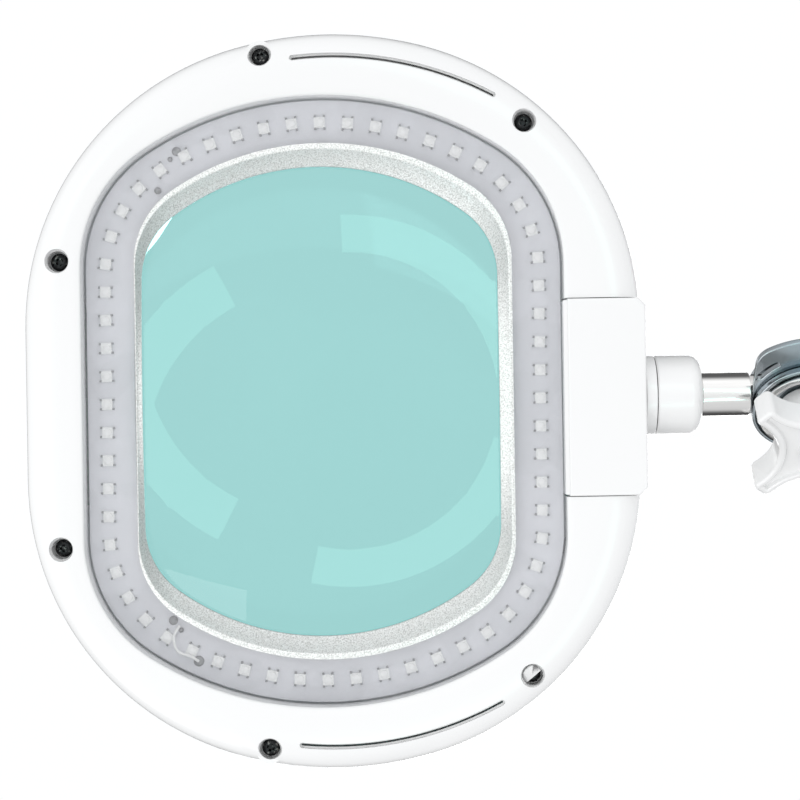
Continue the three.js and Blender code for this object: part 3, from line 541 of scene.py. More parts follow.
def hull_outline(circles, steps=16):
    """The outline round a row of circles (x, y, radius), listed counter-clockwise."""
    count = len(circles)
    tangents = []
    for i, (x, y, r) in enumerate(circles):
        nx, ny, nr = circles[(i + 1) % count]
        heading = math.atan2(ny - y, nx - x)
        lean = math.asin((r - nr) / math.hypot(nx - x, ny - y))
        tangents.append(heading - math.pi / 2 + lean)
    outline = []
    for i, (x, y, r) in enumerate(circles):
        start, end = tangents[i - 1], tangents[i]
        while end < start:
            end += 2 * math.pi
        outline += arc((x, y), r, math.degrees(start), math.degrees(end), steps)
    return outline


# ---- Forms ---------------------------------------------------------------------------------


def linked(name, data):
    """A new object in the scene."""
    made = bpy.data.objects.new(name, data)
    bpy.context.collection.objects.link(made)
    return made


def settled(carrier):
    """The plain mesh of an object with its modifiers applied."""
    return bpy.data.meshes.new_from_object(carrier.evaluated_get(bpy.context.evaluated_depsgraph_get()))


def mesh_of(form, name):
    """A form made a mesh whose faces point outwards. The form is used up."""
    bmesh.ops.recalc_face_normals(form, faces=form.faces)
    mesh = bpy.data.meshes.new(name)
    form.to_mesh(mesh)
    form.free()
    return mesh


def loft(rows, wrap=False, caps=True):
    """A form from rows of equally many points. It wraps row to row, or its ends are capped."""
    form = bmesh.new()
    rings = [[form.verts.new(point) for point in row] for row in rows]
    count = len(rings[0])
    pairs = list(zip(rings, rings[1:]))
    if wrap:
        pairs.append((rings[-1], rings[0]))
    for low, high in pairs:
        for i in range(count):
            j = (i + 1) % count
            form.faces.new((low[i], low[j], high[j], high[i]))
    if caps and not wrap:
        for ring in (rings[0], rings[-1]):
            centre = form.verts.new(sum((v.co for v in ring), Vector()) / count)
            for i in range(count):
                form.faces.new((ring[i], ring[(i + 1) % count], centre))
    return form


def turned(profile, turn="Z", at=(0, 0, 0), steps=64, wrap=False, soften=0.3):
    """A turned form: (radius, height) pairs from the axis to the axis, or wrapping on themselves."""
    path = rounded(profile, soften, 2, closed=wrap) if soften else [Vector(p) for p in profile]
    rows = [[Vector((max(r, 0) * math.cos(2 * math.pi * i / steps),
                     max(r, 0) * math.sin(2 * math.pi * i / steps), h)) for i in range(steps)]
            for r, h in path]
    form = loft(rows, wrap=wrap, caps=False)
    bmesh.ops.remove_doubles(form, verts=form.verts, dist=1e-5)
    spin = {"Z": Matrix(), "X": Matrix.Rotation(math.pi / 2, 4, "Y"),
            "Y": Matrix.Rotation(-math.pi / 2, 4, "X")}
    form.transform(Matrix.Translation(at) @ spin[turn])
    return form


def tube(route, radius, sides=10):
    """A round wire along a route of points."""
    rows = []
    for i, point in enumerate(route):
        ahead = (Vector(route[min(i + 1, len(route) - 1)]) - Vector(route[max(i - 1, 0)])).normalized()
        side = ahead.cross((0, 0, 1)).normalized()
        up = side.cross(ahead)
        ring = [math.tau * k / sides for k in range(sides)]
        rows.append([Vector(point) + radius * (side * math.cos(a) + up * math.sin(a)) for a in ring])
    return loft(rows)


def plate(outline, low, high, holes=(), edge=0.35, standing=True):
    """A flat plate with softened edges. It stands in the arm's plane, or lies in the head's."""
    curve = bpy.data.curves.new("plate", "CURVE")
    curve.dimensions = "2D"
    curve.fill_mode = "BOTH"
    curve.extrude = (high - low) / 2 - edge
    curve.bevel_depth = edge
    curve.bevel_resolution = 2
    curve.offset = -edge
    for ring in (outline, *holes):
        spline = curve.splines.new("POLY")
        spline.points.add(len(ring) - 1)
        for point, place in zip(spline.points, ring):
            point.co = (place[0], place[1], 0, 1)
        spline.use_cyclic_u = True
    carrier = linked("plate", curve)
    mesh = settled(carrier)
    form = bmesh.new()
    form.from_mesh(mesh)
    bpy.data.meshes.remove(mesh)
    bpy.data.objects.remove(carrier)
    bmesh.ops.remove_doubles(form, verts=form.verts, dist=1e-4)
    bmesh.ops.translate(form, verts=form.verts, vec=(0, 0, (low + high) / 2))
    if standing:
        form.transform(Matrix.Rotation(math.pi / 2, 4, "X"))
        form.transform(Matrix.Translation((0, low + high, 0)))
    return form


def block(low, high, edge=0.5, segments=2):
    """A box between two corners with softened edges."""
    form = bmesh.new()
    bmesh.ops.create_cube(form, size=1)
    for vert in form.verts:
        vert.co = Vector(low[k] if vert.co[k] < 0 else high[k] for k in range(3))
    if edge:
        bmesh.ops.bevel(form, geom=form.edges[:], offset=edge, segments=segments, affect="EDGES", profile=0.5)
    return form


def together(*forms):
    """Several forms as one."""
    result = bmesh.new()
    for form in forms:
        part = mesh_of(form, "part")
        result.from_mesh(part)
        bpy.data.meshes.remove(part)
    return result


def carve(form, tool, operation="DIFFERENCE"):
    """One form cut by another, or joined with it."""
    held = [linked("carved", mesh_of(shape, "carved")) for shape in (form, tool)]
    modifier = held[0].modifiers.new("carve", "BOOLEAN")
    modifier.operation = operation
    modifier.solver = "EXACT"
    modifier.object = held[1]
    result = bmesh.new()
    result.from_mesh(settled(held[0]))
    for carrier in held:
        bpy.data.objects.remove(carrier)
    if not result.faces:
        raise RuntimeError("a carved form came out empty")
    return result


def nodes_shape(name, tree, source, inputs):
    """The plain mesh that a geometry tree makes from a source mesh."""
    carrier = linked(name, source)
    modifier = carrier.modifiers.new("shape", "NODES")
    modifier.node_group = tree
    for item in tree.interface.items_tree:
        if item.name in inputs:
            modifier[item.identifier] = inputs[item.name]
    mesh = settled(carrier)
    carrier.modifiers.remove(modifier)
    bpy.data.objects.remove(carrier)
    if not mesh.polygons:
        raise RuntimeError(f"{name} came out empty")
    return mesh


def add_piece(name, form, place, replaced, slot, finish=None, smooth=32, body=None):
    """A finished piece from a form in millimetres. It rides with the CAD nodes it stands for."""
    if isinstance(form, bpy.types.Mesh):
        mesh = form
        mesh.name = name
    else:
        mesh = mesh_of(form, name)
    mesh.transform(place)
    mesh.shade_smooth()
    mesh.set_sharp_from_angle(angle=math.radians(smooth))
    mesh.materials.clear()
    mesh.materials.append(finish_of(finish or slot))
    piece = linked(name, mesh)
    flatten = piece.modifiers.new("flat faces stay flat", "WEIGHTED_NORMAL")
    flatten.keep_sharp = True
    flatten.weight = 80
    piece.data = settled(piece)
    piece.modifiers.clear()
    bpy.data.meshes.remove(mesh)
    piece.data.name = name
    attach(piece, body or NODES[replaced[0]]["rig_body"])
    if replaced:
        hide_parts(*replaced)
    return piece


# ---- Geometry trees ------------------------------------------------------------------------


def new_tree(name, sockets):
    """An empty geometry tree with its inputs, and a Value for each of them."""
    tree = bpy.data.node_groups.new(name, "GeometryNodeTree")
    tree.interface.new_socket("Geometry", in_out="INPUT", socket_type="NodeSocketGeometry")
    for label, kind, default in sockets:
        item = tree.interface.new_socket(label, in_out="INPUT", socket_type=kind)
        if default is not None:
            item.default_value = default
    tree.interface.new_socket("Geometry", in_out="OUTPUT", socket_type="NodeSocketGeometry")
    graph = Graph(tree)
    entry = tree.nodes.new("NodeGroupInput")
    values = {socket.name: Value(graph, socket) for socket in entry.outputs if socket.name}
    return graph, values


def close_tree(graph, shape, finish):
    """A tree ended with real geometry in its finish."""
    real = graph.node("GeometryNodeRealizeInstances", None, {"Geometry": shape})
    done = graph.node("GeometryNodeSetMaterial", None, {"Geometry": real, "Material": finish})
    leave = graph.tree.nodes.new("NodeGroupOutput")
    graph.feed(leave.inputs[0], done)
    return graph.tree


def template_shape(graph, given):
    """The template's geometry inside a tree."""
    values = {"Object": given["Template"], "As Instance": True}
    return graph.node("GeometryNodeObjectInfo", None, values, "Geometry")


def row_tree():
    """Copies of a template at even steps along a closed path, each turned along it."""
    found = bpy.data.node_groups.get("Row along a path")
    if found:
        return found
    graph, given = new_tree("Row along a path", (
        ("Template", "NodeSocketObject", None), ("Count", "NodeSocketInt", 60),
        ("Lean", "NodeSocketFloat", 0.03), ("Seed", "NodeSocketInt", 7),
        ("Finish", "NodeSocketMaterial", None)))
    path = graph.node("GeometryNodeMeshToCurve", None, {"Mesh": given["Geometry"]})
    even = graph.node("GeometryNodeResampleCurve", {"mode": "COUNT"},
                      {"Curve": path, "Count": given["Count"]})
    shape = template_shape(graph, given)
    points = graph.node("GeometryNodeCurveToPoints", {"mode": "EVALUATED"}, {"Curve": even})
    tangent = Value(graph, points.socket.node.outputs["Tangent"])
    facing = graph.node("FunctionNodeAlignRotationToVector", {"axis": "X", "pivot_axis": "Z"},
                        {"Vector": tangent})
    placed = graph.node("GeometryNodeInstanceOnPoints", None,
                        {"Points": points, "Instance": shape, "Rotation": facing})
    lean = graph.node("FunctionNodeRandomValue", {"data_type": "FLOAT"},
                      {2: -1.0, 3: 1.0, "Seed": given["Seed"]}, 1)
    angle = graph.node("ShaderNodeCombineXYZ", None, {"Z": lean * given["Lean"]})
    turned_ones = graph.node("GeometryNodeRotateInstances", None, {"Instances": placed, "Rotation": angle})
    return close_tree(graph, turned_ones, given["Finish"])


def scatter_tree():
    """A copy of a template on every point, turned about its own axis by chance."""
    found = bpy.data.node_groups.get("Copies on points")
    if found:
        return found
    graph, given = new_tree("Copies on points", (
        ("Template", "NodeSocketObject", None), ("Turn", "NodeSocketFloat", 0.0),
        ("Seed", "NodeSocketInt", 3), ("Finish", "NodeSocketMaterial", None)))
    shape = template_shape(graph, given)
    chance = graph.node("FunctionNodeRandomValue", {"data_type": "FLOAT"},
                        {2: 0.0, 3: 1.0, "Seed": given["Seed"]}, 1)
    angle = graph.node("ShaderNodeCombineXYZ", None, {"Z": chance * given["Turn"]})
    placed = graph.node("GeometryNodeInstanceOnPoints", None,
                        {"Points": given["Geometry"], "Instance": shape, "Rotation": angle})
    return close_tree(graph, placed, given["Finish"])


def coil_tree():
    """A round wire wound into a coil along z from the origin."""
    found = bpy.data.node_groups.get("Wound wire")
    if found:
        return found
    graph, given = new_tree("Wound wire", (
        ("Turns", "NodeSocketFloat", 40.0), ("Coil Radius", "NodeSocketFloat", 3.0),
        ("Length", "NodeSocketFloat", 100.0), ("Wire Radius", "NodeSocketFloat", 0.5),
        ("Finish", "NodeSocketMaterial", None)))
    values = {"Resolution": 20, "Rotations": given["Turns"], "Start Radius": given["Coil Radius"],
              "End Radius": given["Coil Radius"], "Height": given["Length"]}
    spiral = graph.node("GeometryNodeCurveSpiral", None, values)
    wire = graph.node("GeometryNodeCurvePrimitiveCircle", None,
                      {"Resolution": 8, "Radius": given["Wire Radius"]})
    wound = graph.node("GeometryNodeCurveToMesh", None,
                       {"Curve": spiral, "Profile Curve": wire, "Fill Caps": True})
    return close_tree(graph, wound, given["Finish"])


def template(form):
    """A form as an object that a tree can copy."""
    return linked("template", mesh_of(form, "template"))


def copies(name, form, places, turn, finish):
    """The mesh of a form copied to each place."""
    points = bpy.data.meshes.new("points")
    points.from_pydata([tuple(place) for place in places], [], [])
    pattern = template(form)
    mesh = nodes_shape(name, scatter_tree(), points,
                       {"Template": pattern, "Turn": turn, "Finish": finish_of(finish)})
    bpy.data.objects.remove(pattern)
    return mesh


# ---- Forms of the head ---------------------------------------------------------------------


def well_tools(radius, low, high, lip=0.0):
    """One tool for every screw well, wider by the lip at its mouth."""
    mouth = 1.6
    above = high + 8
    profile = [(0, low), (radius, low), (radius, high - mouth), (radius + lip, high),
               (radius + lip, above), (0, above)]
    return together(*(turned(profile, at=(x, y, 0), steps=44, soften=0) for x, y in SCREWS))


def vent_tool(side, width, low):
    """A slot with round ends that follows the rim."""
    slot = arc_slot((0, 0), VENT["radius"], width / 2, 90 - VENT["end"], 90 - VENT["start"], 40, 8)
    outline = [(x, side * y) for x, y in slot]
    return loft([at_height(outline, low), at_height(outline, CREST_Z + 6)])


def notch_tool(inner):
    """The room that the mount block takes out of a housing, from a distance outwards."""
    half = BLOCK["half"] + GAP
    return block((inner - GAP, -half, -40), (BLOCK["outer"] + 9, half, 40), edge=0)


def flat_ring(outer, inner, low, high, edge=0.3):
    """A flat ring between two ovals with rounded edges."""
    steps = ((0, low + edge), (0, high - edge), (edge * 0.3, high - edge * 0.3), (edge, high))
    rows = [at_height(oval(outer, -inset), z) for inset, z in steps]
    rows += [at_height(oval(inner, inset), z) for inset, z in reversed(steps)]
    rows += [at_height(oval(inner, inset), low + high - z) for inset, z in steps]
    rows += [at_height(oval(outer, -inset), low + high - z) for inset, z in reversed(steps)]
    form = loft(rows, wrap=True)
    bmesh.ops.remove_doubles(form, verts=form.verts, dist=1e-5)
    return form


def lens_height(x, y):
    """How far a face of the lens stands from its middle plane."""
    away = math.hypot(x - LENS_SIGHT[0], y)
    return LENS["half"] - (LENS["radius"] - math.sqrt(LENS["radius"] ** 2 - away ** 2))


# ---- Settings ------------------------------------------------------------------------------


class MAGNIFIER_PG_sizes(bpy.types.PropertyGroup):
    led_count: IntProperty(
        name="LED Count", description="Light chips on the ring board", default=60, min=8, max=120)
    led_size: FloatProperty(
        name="LED Size", description="Side of one light chip", default=4.3 * MM, unit="LENGTH")
    led_lean: FloatProperty(
        name="LED Lean", description="How far a chip may be turned from true", default=math.radians(3),
        subtype="ANGLE")
    recess_width: FloatProperty(
        name="Recess Width", description="Width of a cross recess's arm", default=1.15 * MM, unit="LENGTH")
    wire_radius: FloatProperty(
        name="Spring Wire Radius", description="Radius of the arm springs' wire", default=0.55 * MM,
        unit="LENGTH")
    spring_pitch: FloatProperty(
        name="Spring Pitch", description="Rise of one turn of an arm spring", default=1.5 * MM, unit="LENGTH")
    thread_pitch: FloatProperty(
        name="Thread Pitch", description="Pitch of the clamp screw", default=3 * MM, unit="LENGTH")


class MAGNIFIER_PG_colours(bpy.types.PropertyGroup):
    plastic: FloatVectorProperty(
        name="Plastic", description="White moulded casings", subtype="COLOR", default=(0.84, 0.84, 0.838))
    cover: FloatVectorProperty(
        name="Light Cover", description="Frosted cover over the LEDs", subtype="COLOR",
        default=(0.87, 0.875, 0.91))
    board: FloatVectorProperty(
        name="LED Board", description="White solder mask", subtype="COLOR", default=(0.81, 0.815, 0.85))
    lens: FloatVectorProperty(
        name="Lens", description="Tint of the magnifying lens", subtype="COLOR", default=(0.335, 0.66, 0.64))
    bezel: FloatVectorProperty(
        name="Lens Frame", description="Silver-grey frame of the lens", subtype="COLOR",
        default=(0.8, 0.795, 0.78))
    zinc: FloatVectorProperty(
        name="Zinc", description="Bright zinc plate on steel", subtype="COLOR", default=(0.4, 0.43, 0.45))
    chrome: FloatVectorProperty(
        name="Chrome", description="Bright plated rod", subtype="COLOR", default=(0.74, 0.73, 0.72))
    enamel: FloatVectorProperty(
        name="Enamel", description="White powder coat on the arm and clamp", subtype="COLOR",
        default=(0.8, 0.8, 0.79))


# ---- Operators: head -----------------------------------------------------------------------


class MAGNIFIER_OT_front_housing(bpy.types.Operator):
    """Moulds the front housing: a domed rim with screw wells, vent slots and a gap for the mount block"""
    bl_idname = "magnifier.front_housing"
    bl_label = "Front Housing"

    def execute(self, context):
        outer, inner = oval(CASING), oval(OPENING)
        dome = smooth_run([(0, 6), (0.04, 11.4), (0.14, 14.3), (0.3, 16.2), (0.55, CREST_Z), (0.88, 16.7)], 5)
        lip = [(0.955, 16.5), (0.985, 16.15), (1, 15.6)]
        inside = [(1, 5.6), (0.9, 5.6), (0.9, GAP), (0.88, GAP), (0.88, 14.2), (0.5, 14.4), (0.2, 12),
                  (0.1, 8), (0.1, GAP), (0, GAP)]
        profile = [tuple(p) for p in dome] + lip + inside
        form = loft([at_height(between(outer, inner, share), z) for share, z in profile], wrap=True)
        form = carve(form, well_tools(WELL["boss"], GAP, WELL["boss_top"]), "UNION")
        form = carve(form, well_tools(WELL["radius"], WELL_FLOOR, WELL["mouth"], WELL["lip"]))
        for side in (1, -1):
            form = carve(form, vent_tool(side, VENT["width"], VENT["floor"]))
            form = carve(form, vent_tool(side, VENT["slit"], 4))
        form = carve(form, notch_tool(LIP["inner"]))
        add_piece("front_housing_shell", form, HEAD, ["front_housing"], "white_plastic")
        return {"FINISHED"}


class MAGNIFIER_OT_back_housing(bpy.types.Operator):
    """Moulds the back housing, with the lens seat and the button's hole"""
    bl_idname = "magnifier.back_housing"
    bl_label = "Back Housing"

    def execute(self, context):
        outer, inner = oval(CASING), oval(LENS_SIGHT, 0.6)
        skin = smooth_run([(0, -7), (0.04, -13), (0.1, -16.8), (0.22, -19.2), (0.4, BACK_Z)], 5)
        rest = [(0.96, BACK_Z), (0.985, -19.6), (1, -18.8), (1, -9.6), (0.955, -9.6), (0.948, -17.6),
                (0.4, -17.6), (0.16, -15.2), (0.075, -9.5), (0.055, -GAP), (0, -GAP)]
        profile = [tuple(p) for p in skin] + rest
        form = loft([at_height(between(outer, inner, share), z) for share, z in profile], wrap=True)
        form = carve(form, notch_tool(BLOCK["inner"]))
        hole = turned([(0, -26), (6.9, -26), (6.3, -19.4), (6.3, -10), (0, -10)], at=(*BUTTON, 0), soften=0)
        form = carve(form, hole)
        add_piece("back_housing_shell", form, HEAD, ["back_housing"], "white_plastic")
        return {"FINISHED"}


class MAGNIFIER_OT_light_cover(bpy.types.Operator):
    """Lays the frosted cover over the ring of LEDs"""
    bl_idname = "magnifier.light_cover"
    bl_label = "Light Cover"

    def execute(self, context):
        form = flat_ring(grown(OPENING, -GAP), BEZEL, 8, COVER_TOP)
        add_piece("light_cover", form, HEAD, ["led_cover"], "clear_cover")
        return {"FINISHED"}


class MAGNIFIER_OT_led_board(bpy.types.Operator):
    """Lays the ring board, its LED chips, their solder marks and the joints between board sections"""
    bl_idname = "magnifier.led_board"
    bl_label = "LED Board"

    def execute(self, context):
        sizes = context.scene.magnifier_sizes
        board = flat_ring(grown(OPENING, -0.6), grown(BEZEL, 0.6), 3, BOARD_TOP, edge=0.15)
        add_piece("ring_board", board, HEAD, ["led_board"], "led_board")
        self.add_chips(sizes)
        self.add_joints()
        return {"FINISHED"}

    def add_chips(self, sizes):
        half = sizes.led_size / MM / 2
        z = BOARD_TOP
        dome = [(0, z + 1), (half * 0.78, z + 1), (half * 0.72, z + 1.5), (half * 0.4, z + 1.75),
                (0, z + 1.8)]
        body = together(block((-half, -half, z), (half, half, z + 1.1), 0.3),
                        turned(dome, steps=16, soften=0))
        size = half * 0.42
        reach = size / 2
        corners = [(sx * (half - size * 0.4), sy * (half + size * 0.3)) for sx in (-1, 1) for sy in (-1, 1)]
        marks = together(*(block((x - reach, y - reach, z), (x + reach, y + reach, z + 1.16), 0.1, 1)
                           for x, y in corners))
        for name, form, finish in (("led_chips", body, "led_chip"), ("led_solder_marks", marks, "led_mark")):
            pattern = template(form)
            path = bpy.data.meshes.new("path")
            ring = [(x, y, 0) for x, y in oval(LED_PATH)]
            path.from_pydata(ring, [(i, (i + 1) % len(ring)) for i in range(len(ring))], [])
            mesh = nodes_shape(name, row_tree(), path, {
                "Template": pattern, "Count": sizes.led_count, "Lean": sizes.led_lean, "Seed": 7,
                "Finish": finish_of(finish)})
            bpy.data.objects.remove(pattern)
            add_piece(name, mesh, HEAD, [], "led_board", finish, body="head")

    def add_joints(self):
        """Solder blobs where the board's sections meet, and a short wire link."""
        blobs = []
        z = BOARD_TOP
        for x, y, size in BOARD_BLOBS:
            dome = [(0, z), (size, z), (size * 0.9, z + 0.5), (size * 0.5, z + 1.1), (0, z + 1.3)]
            blobs.append(turned(dome, at=(x, y, 0), steps=20))
        add_piece("board_solder_joints", together(*blobs), HEAD, [], "led_board", "led_mark", body="head")
        link = tube(smooth_run(WIRE_LINK), 0.55)
        add_piece("board_wire_link", link, HEAD, [], "led_board", "led_chip", body="head")


class MAGNIFIER_OT_lens(bpy.types.Operator):
    """Grinds the tinted lens, curved on both sides"""
    bl_idname = "magnifier.lens"
    bl_label = "Lens"

    def execute(self, context):
        rim = oval(LENS_SIGHT, LENS["margin"])
        centre = (LENS_SIGHT[0], 0)
        rings = 28
        shares = [0.02] + [i / rings for i in range(1, rings)] + [0.985, 1]
        rows = []
        for side in (-1, 1):
            face = []
            for share in shares:
                outline = [(centre[0] + (x - centre[0]) * share, y * share) for x, y in rim]
                face.append([Vector((x, y, LENS["mid"] + side * lens_height(x, y))) for x, y in outline])
            rows += face if side < 0 else list(reversed(face))
        form = loft(rows)
        for vert in form.verts:
            if math.hypot(vert.co.x - centre[0], vert.co.y) < 1e-4:
                vert.co.z = LENS["mid"] + math.copysign(LENS["half"], vert.co.z - LENS["mid"])
        add_piece("magnifying_lens", form, HEAD, ["lens"], "lens_glass", smooth=40)
        return {"FINISHED"}


class MAGNIFIER_OT_lens_frame(bpy.types.Operator):
    """Forms the slanted silver frame between the light cover and the lens"""
    bl_idname = "magnifier.lens_frame"
    bl_label = "Lens Frame"

    def execute(self, context):
        outside, inside = oval(BEZEL, -GAP), oval(LENS_SIGHT)
        lip = -0.16
        top = COVER_TOP
        rows = [[] for _ in range(11)]
        for (ox, oy), (nx, ny) in zip(outside, inside):
            foot = LENS["mid"] + lens_height(ox, oy) + 1.2
            seat = LENS["mid"] + lens_height(nx, ny) + 0.5
            outer, inner = Vector((ox, oy)), Vector((nx, ny))
            stops = ((0, foot), (0, top + 0.02), (lip, top + 0.02), (lip, top + 0.25), (0.03, top + 0.6),
                     (0.1, top + 0.62), (0.17, top + 0.35), (0.5, (top + seat + 1.2) / 2),
                     (0.97, seat + 1.3), (1, seat + 1.0), (1, seat))
            for row, (share, z) in zip(rows, stops):
                flat = outer.lerp(inner, share)
                row.append(Vector((flat.x, flat.y, z)))
        form = loft(rows, wrap=True)
        add_piece("lens_frame", form, HEAD, ["lens_retainer"], "bezel_silver", smooth=50)
        return {"FINISHED"}


class MAGNIFIER_OT_mount_block(bpy.types.Operator):
    """Moulds the two halves of the block that carries the neck, with the cover's hinge ears"""
    bl_idname = "magnifier.mount_block"
    bl_label = "Mount Block"

    def execute(self, context):
        inner, outer, half, chamfer = (BLOCK[key] for key in ("inner", "outer", "half", "chamfer"))
        outline = [(inner, -half), (outer - chamfer, -half), (outer, chamfer - half), (outer, half - chamfer),
                   (outer - chamfer, half), (inner, half)]
        wall = BLOCK["wall"]
        room = half - wall
        front = plate(outline, GAP, BLOCK["front"], edge=0.9, standing=False)
        pocket = block((inner + wall, -room, -5), (outer - wall, room, BLOCK["front"] - wall), edge=0)
        front = carve(carve(front, pocket), self.bore())
        reach = half - 0.5
        lip = block((LIP["inner"], -reach, LIP["low"]), (inner + 1.5, reach, LIP["high"]), 0.5)
        add_piece("mount_block_front_half", together(front, lip), HEAD, ["mount_block_front"],
                  "white_plastic")
        socket = turned([(0, 105), (5.3, 105), (5.3, 119.4), (6.1, 121), (6.1, 126), (0, 126)], "X",
                        at=INLET, steps=40, soften=0)
        back = plate(outline, BLOCK["back"], -GAP, edge=0.9, standing=False)
        pocket = block((inner + wall, -room, BLOCK["back"] + wall), (outer - wall, room, 5), edge=0)
        back = carve(carve(carve(back, pocket), self.bore()), socket)
        ears = [self.ear(side) for side in (-1, 1)]
        add_piece("mount_block_back_half", together(back, *ears), HEAD, ["mount_block_back"], "white_plastic")
        return {"FINISHED"}

    def bore(self):
        """The tool for the neck spindle's bore through the block."""
        return turned([(0, 90), (SPINDLE_BORE, 90), (SPINDLE_BORE, 130), (0, 130)], "X", steps=40, soften=0)

    def ear(self, side):
        """A hinge ear with its pin's hole."""
        radius = HINGE["radius"]
        top = BLOCK["back"] + 1
        outline = [(HINGE["x"] + radius, top), (HINGE["x"] - radius, top)]
        outline += arc((HINGE["x"], HINGE["z"]), radius, 180, 360, 24)
        hole = circle(HINGE["x"], HINGE["z"], HINGE["pin"] + GAP, 32)
        low = HINGE["ear_from"] if side > 0 else -HINGE["ear_to"]
        return plate(outline, low, low + HINGE["ear_to"] - HINGE["ear_from"], [hole], 0.5)


class MAGNIFIER_OT_housing_screws(bpy.types.Operator):
    """Drives a cross-head screw into each well, each stopped at its own angle"""
    bl_idname = "magnifier.housing_screws"
    bl_label = "Housing Screws"

    def execute(self, context):
        seat = WELL_FLOOR + GAP
        crown = smooth_run([(3.4, seat + 0.8), (3.3, seat + 1.5), (2.7, seat + 2.15), (1.6, seat + 2.45),
                            (0, seat + 2.5)], 5)
        profile = [(0, -9), (0.9, -8.6), (1.5, -7), (1.5, seat), (3.4, seat)] + [tuple(p) for p in crown]
        head = turned(profile, steps=40, soften=0)
        half = context.scene.magnifier_sizes.recess_width / MM / 2
        for angle in (0, 90):
            arm = block((-2.05, -half, seat + 0.7), (2.05, half, seat + 4), edge=0)
            for vert in arm.verts:
                if vert.co.z < seat + 1:
                    vert.co.x *= 0.45
            arm.transform(Matrix.Rotation(math.radians(angle), 4, "Z"))
            head = carve(head, arm)
        mesh = copies("housing_screws", head, [(x, y, 0) for x, y in SCREWS], math.tau, "black_screw")
        nodes = [f"housing_screw_{i + 1}" for i in range(len(SCREWS))]
        add_piece("housing_screws", mesh, HEAD, nodes, "black_screw", smooth=40)
        return {"FINISHED"}


class MAGNIFIER_OT_head_fittings(bpy.types.Operator):
    """Fits the power button, the power inlet, the hinge pin and the swivel collar"""
    bl_idname = "magnifier.head_fittings"
    bl_label = "Head Fittings"

    def execute(self, context):
        top = -22.6
        button = [(0, -13), (7.6, -13), (7.6, -15), (6, -15), (6, top + 0.7), (5.4, top), (4.6, top),
                  (3.6, top + 0.45), (0, top + 0.6)]
        add_piece("power_button_cap", turned(button, at=(*BUTTON, 0), soften=0.4), HEAD, ["power_button"],
                  "black_plastic")
        inlet = [(0, 106), (5, 106), (5, 121.4), (3.2, 121.4), (3.2, 112), (1, 112), (1, 119), (0, 119)]
        add_piece("power_inlet", turned(inlet, "X", at=INLET, soften=0.35), HEAD, ["dc_inlet"],
                  "black_plastic")
        pin = [(0, -32), (2.6, -32), (3.2, -31.4), (3.2, -30.4), (1.9, -30.4), (1.9, 30.4), (3.2, 30.4),
               (3.2, 31.4), (2.6, 32), (0, 32)]
        add_piece("cover_pin", turned(pin, "Y", at=(HINGE["x"], 0, HINGE["z"]), steps=32), HEAD,
                  ["cover_hinge_pin"], "spring_steel")
        collar = [(5.4, 120.9), (15.7, 120.9), (15.7, 125.1), (5.4, 125.1)]
        add_piece("neck_collar", turned(collar, "X", wrap=True, soften=0.5, steps=96), HEAD,
                  ["swivel_collar"], "white_plastic")
        return {"FINISHED"}


class MAGNIFIER_OT_lens_cover(bpy.types.Operator):
    """Moulds the hinged lens cover and swings it open"""
    bl_idname = "magnifier.lens_cover"
    bl_label = "Lens Cover"

    def execute(self, context):
        thick = 2.5
        low = HINGE["z"] + HINGE["radius"] - 0.1 - thick
        high = low + thick
        sizes = [(0.02, low), (0.6, low), (0.93, low), (0.935, low + 0.7), (0.96, low + 0.7), (0.965, low),
                 (0.99, low), (1, low + 0.6), (1, high - 0.6), (0.99, high), (0.5, high), (0.02, high)]
        outline = oval(COVER_FLAP)
        centre = COVER_FLAP[0]
        flap = loft([[Vector((centre + (x - centre) * share, y * share, z)) for x, y in outline]
                     for share, z in sizes])
        half = HINGE["ear_from"] - 0.6
        arm = block((72, -half, low), (HINGE["x"], half, high), 0.6)
        tab = block((-94, -12, low), (-84, 12, high), 0.8)
        inner, outer = HINGE["pin"] + GAP, HINGE["radius"] - 0.1
        barrel = turned([(inner, -half), (outer, -half), (outer, half), (inner, half)], "Y", wrap=True,
                        at=(HINGE["x"], 0, HINGE["z"]), soften=0.4)
        form = together(flap, arm, tab, barrel)
        hinge = Matrix.Translation((HINGE["x"], 0, HINGE["z"]))
        opened = math.radians(JOINTS["cover_hinge"]["range_deg"][1])
        form.transform(hinge @ Matrix.Rotation(-opened, 4, "Y") @ hinge.inverted())
        add_piece("cover_flap", form, HEAD, ["lens_cover"], "white_plastic")
        return {"FINISHED"}


class MAGNIFIER_OT_inner_parts(bpy.types.Operator):
    """Gives the driver board, spindle and nut inside the head their finishes"""
    bl_idname = "magnifier.inner_parts"
    bl_label = "Inner Parts"

    def execute(self, context):
        inner = {"driver_board": "circuit_board", "neck_spindle": "zinc_steel", "spindle_nut": "zinc_steel"}
        for name, finish in inner.items():
            node = NODES[name]
            node.data.materials.clear()
            node.data.materials.append(finish_of(finish))
        return {"FINISHED"}


# ---- Operators: neck and tilt joint --------------------------------------------------------


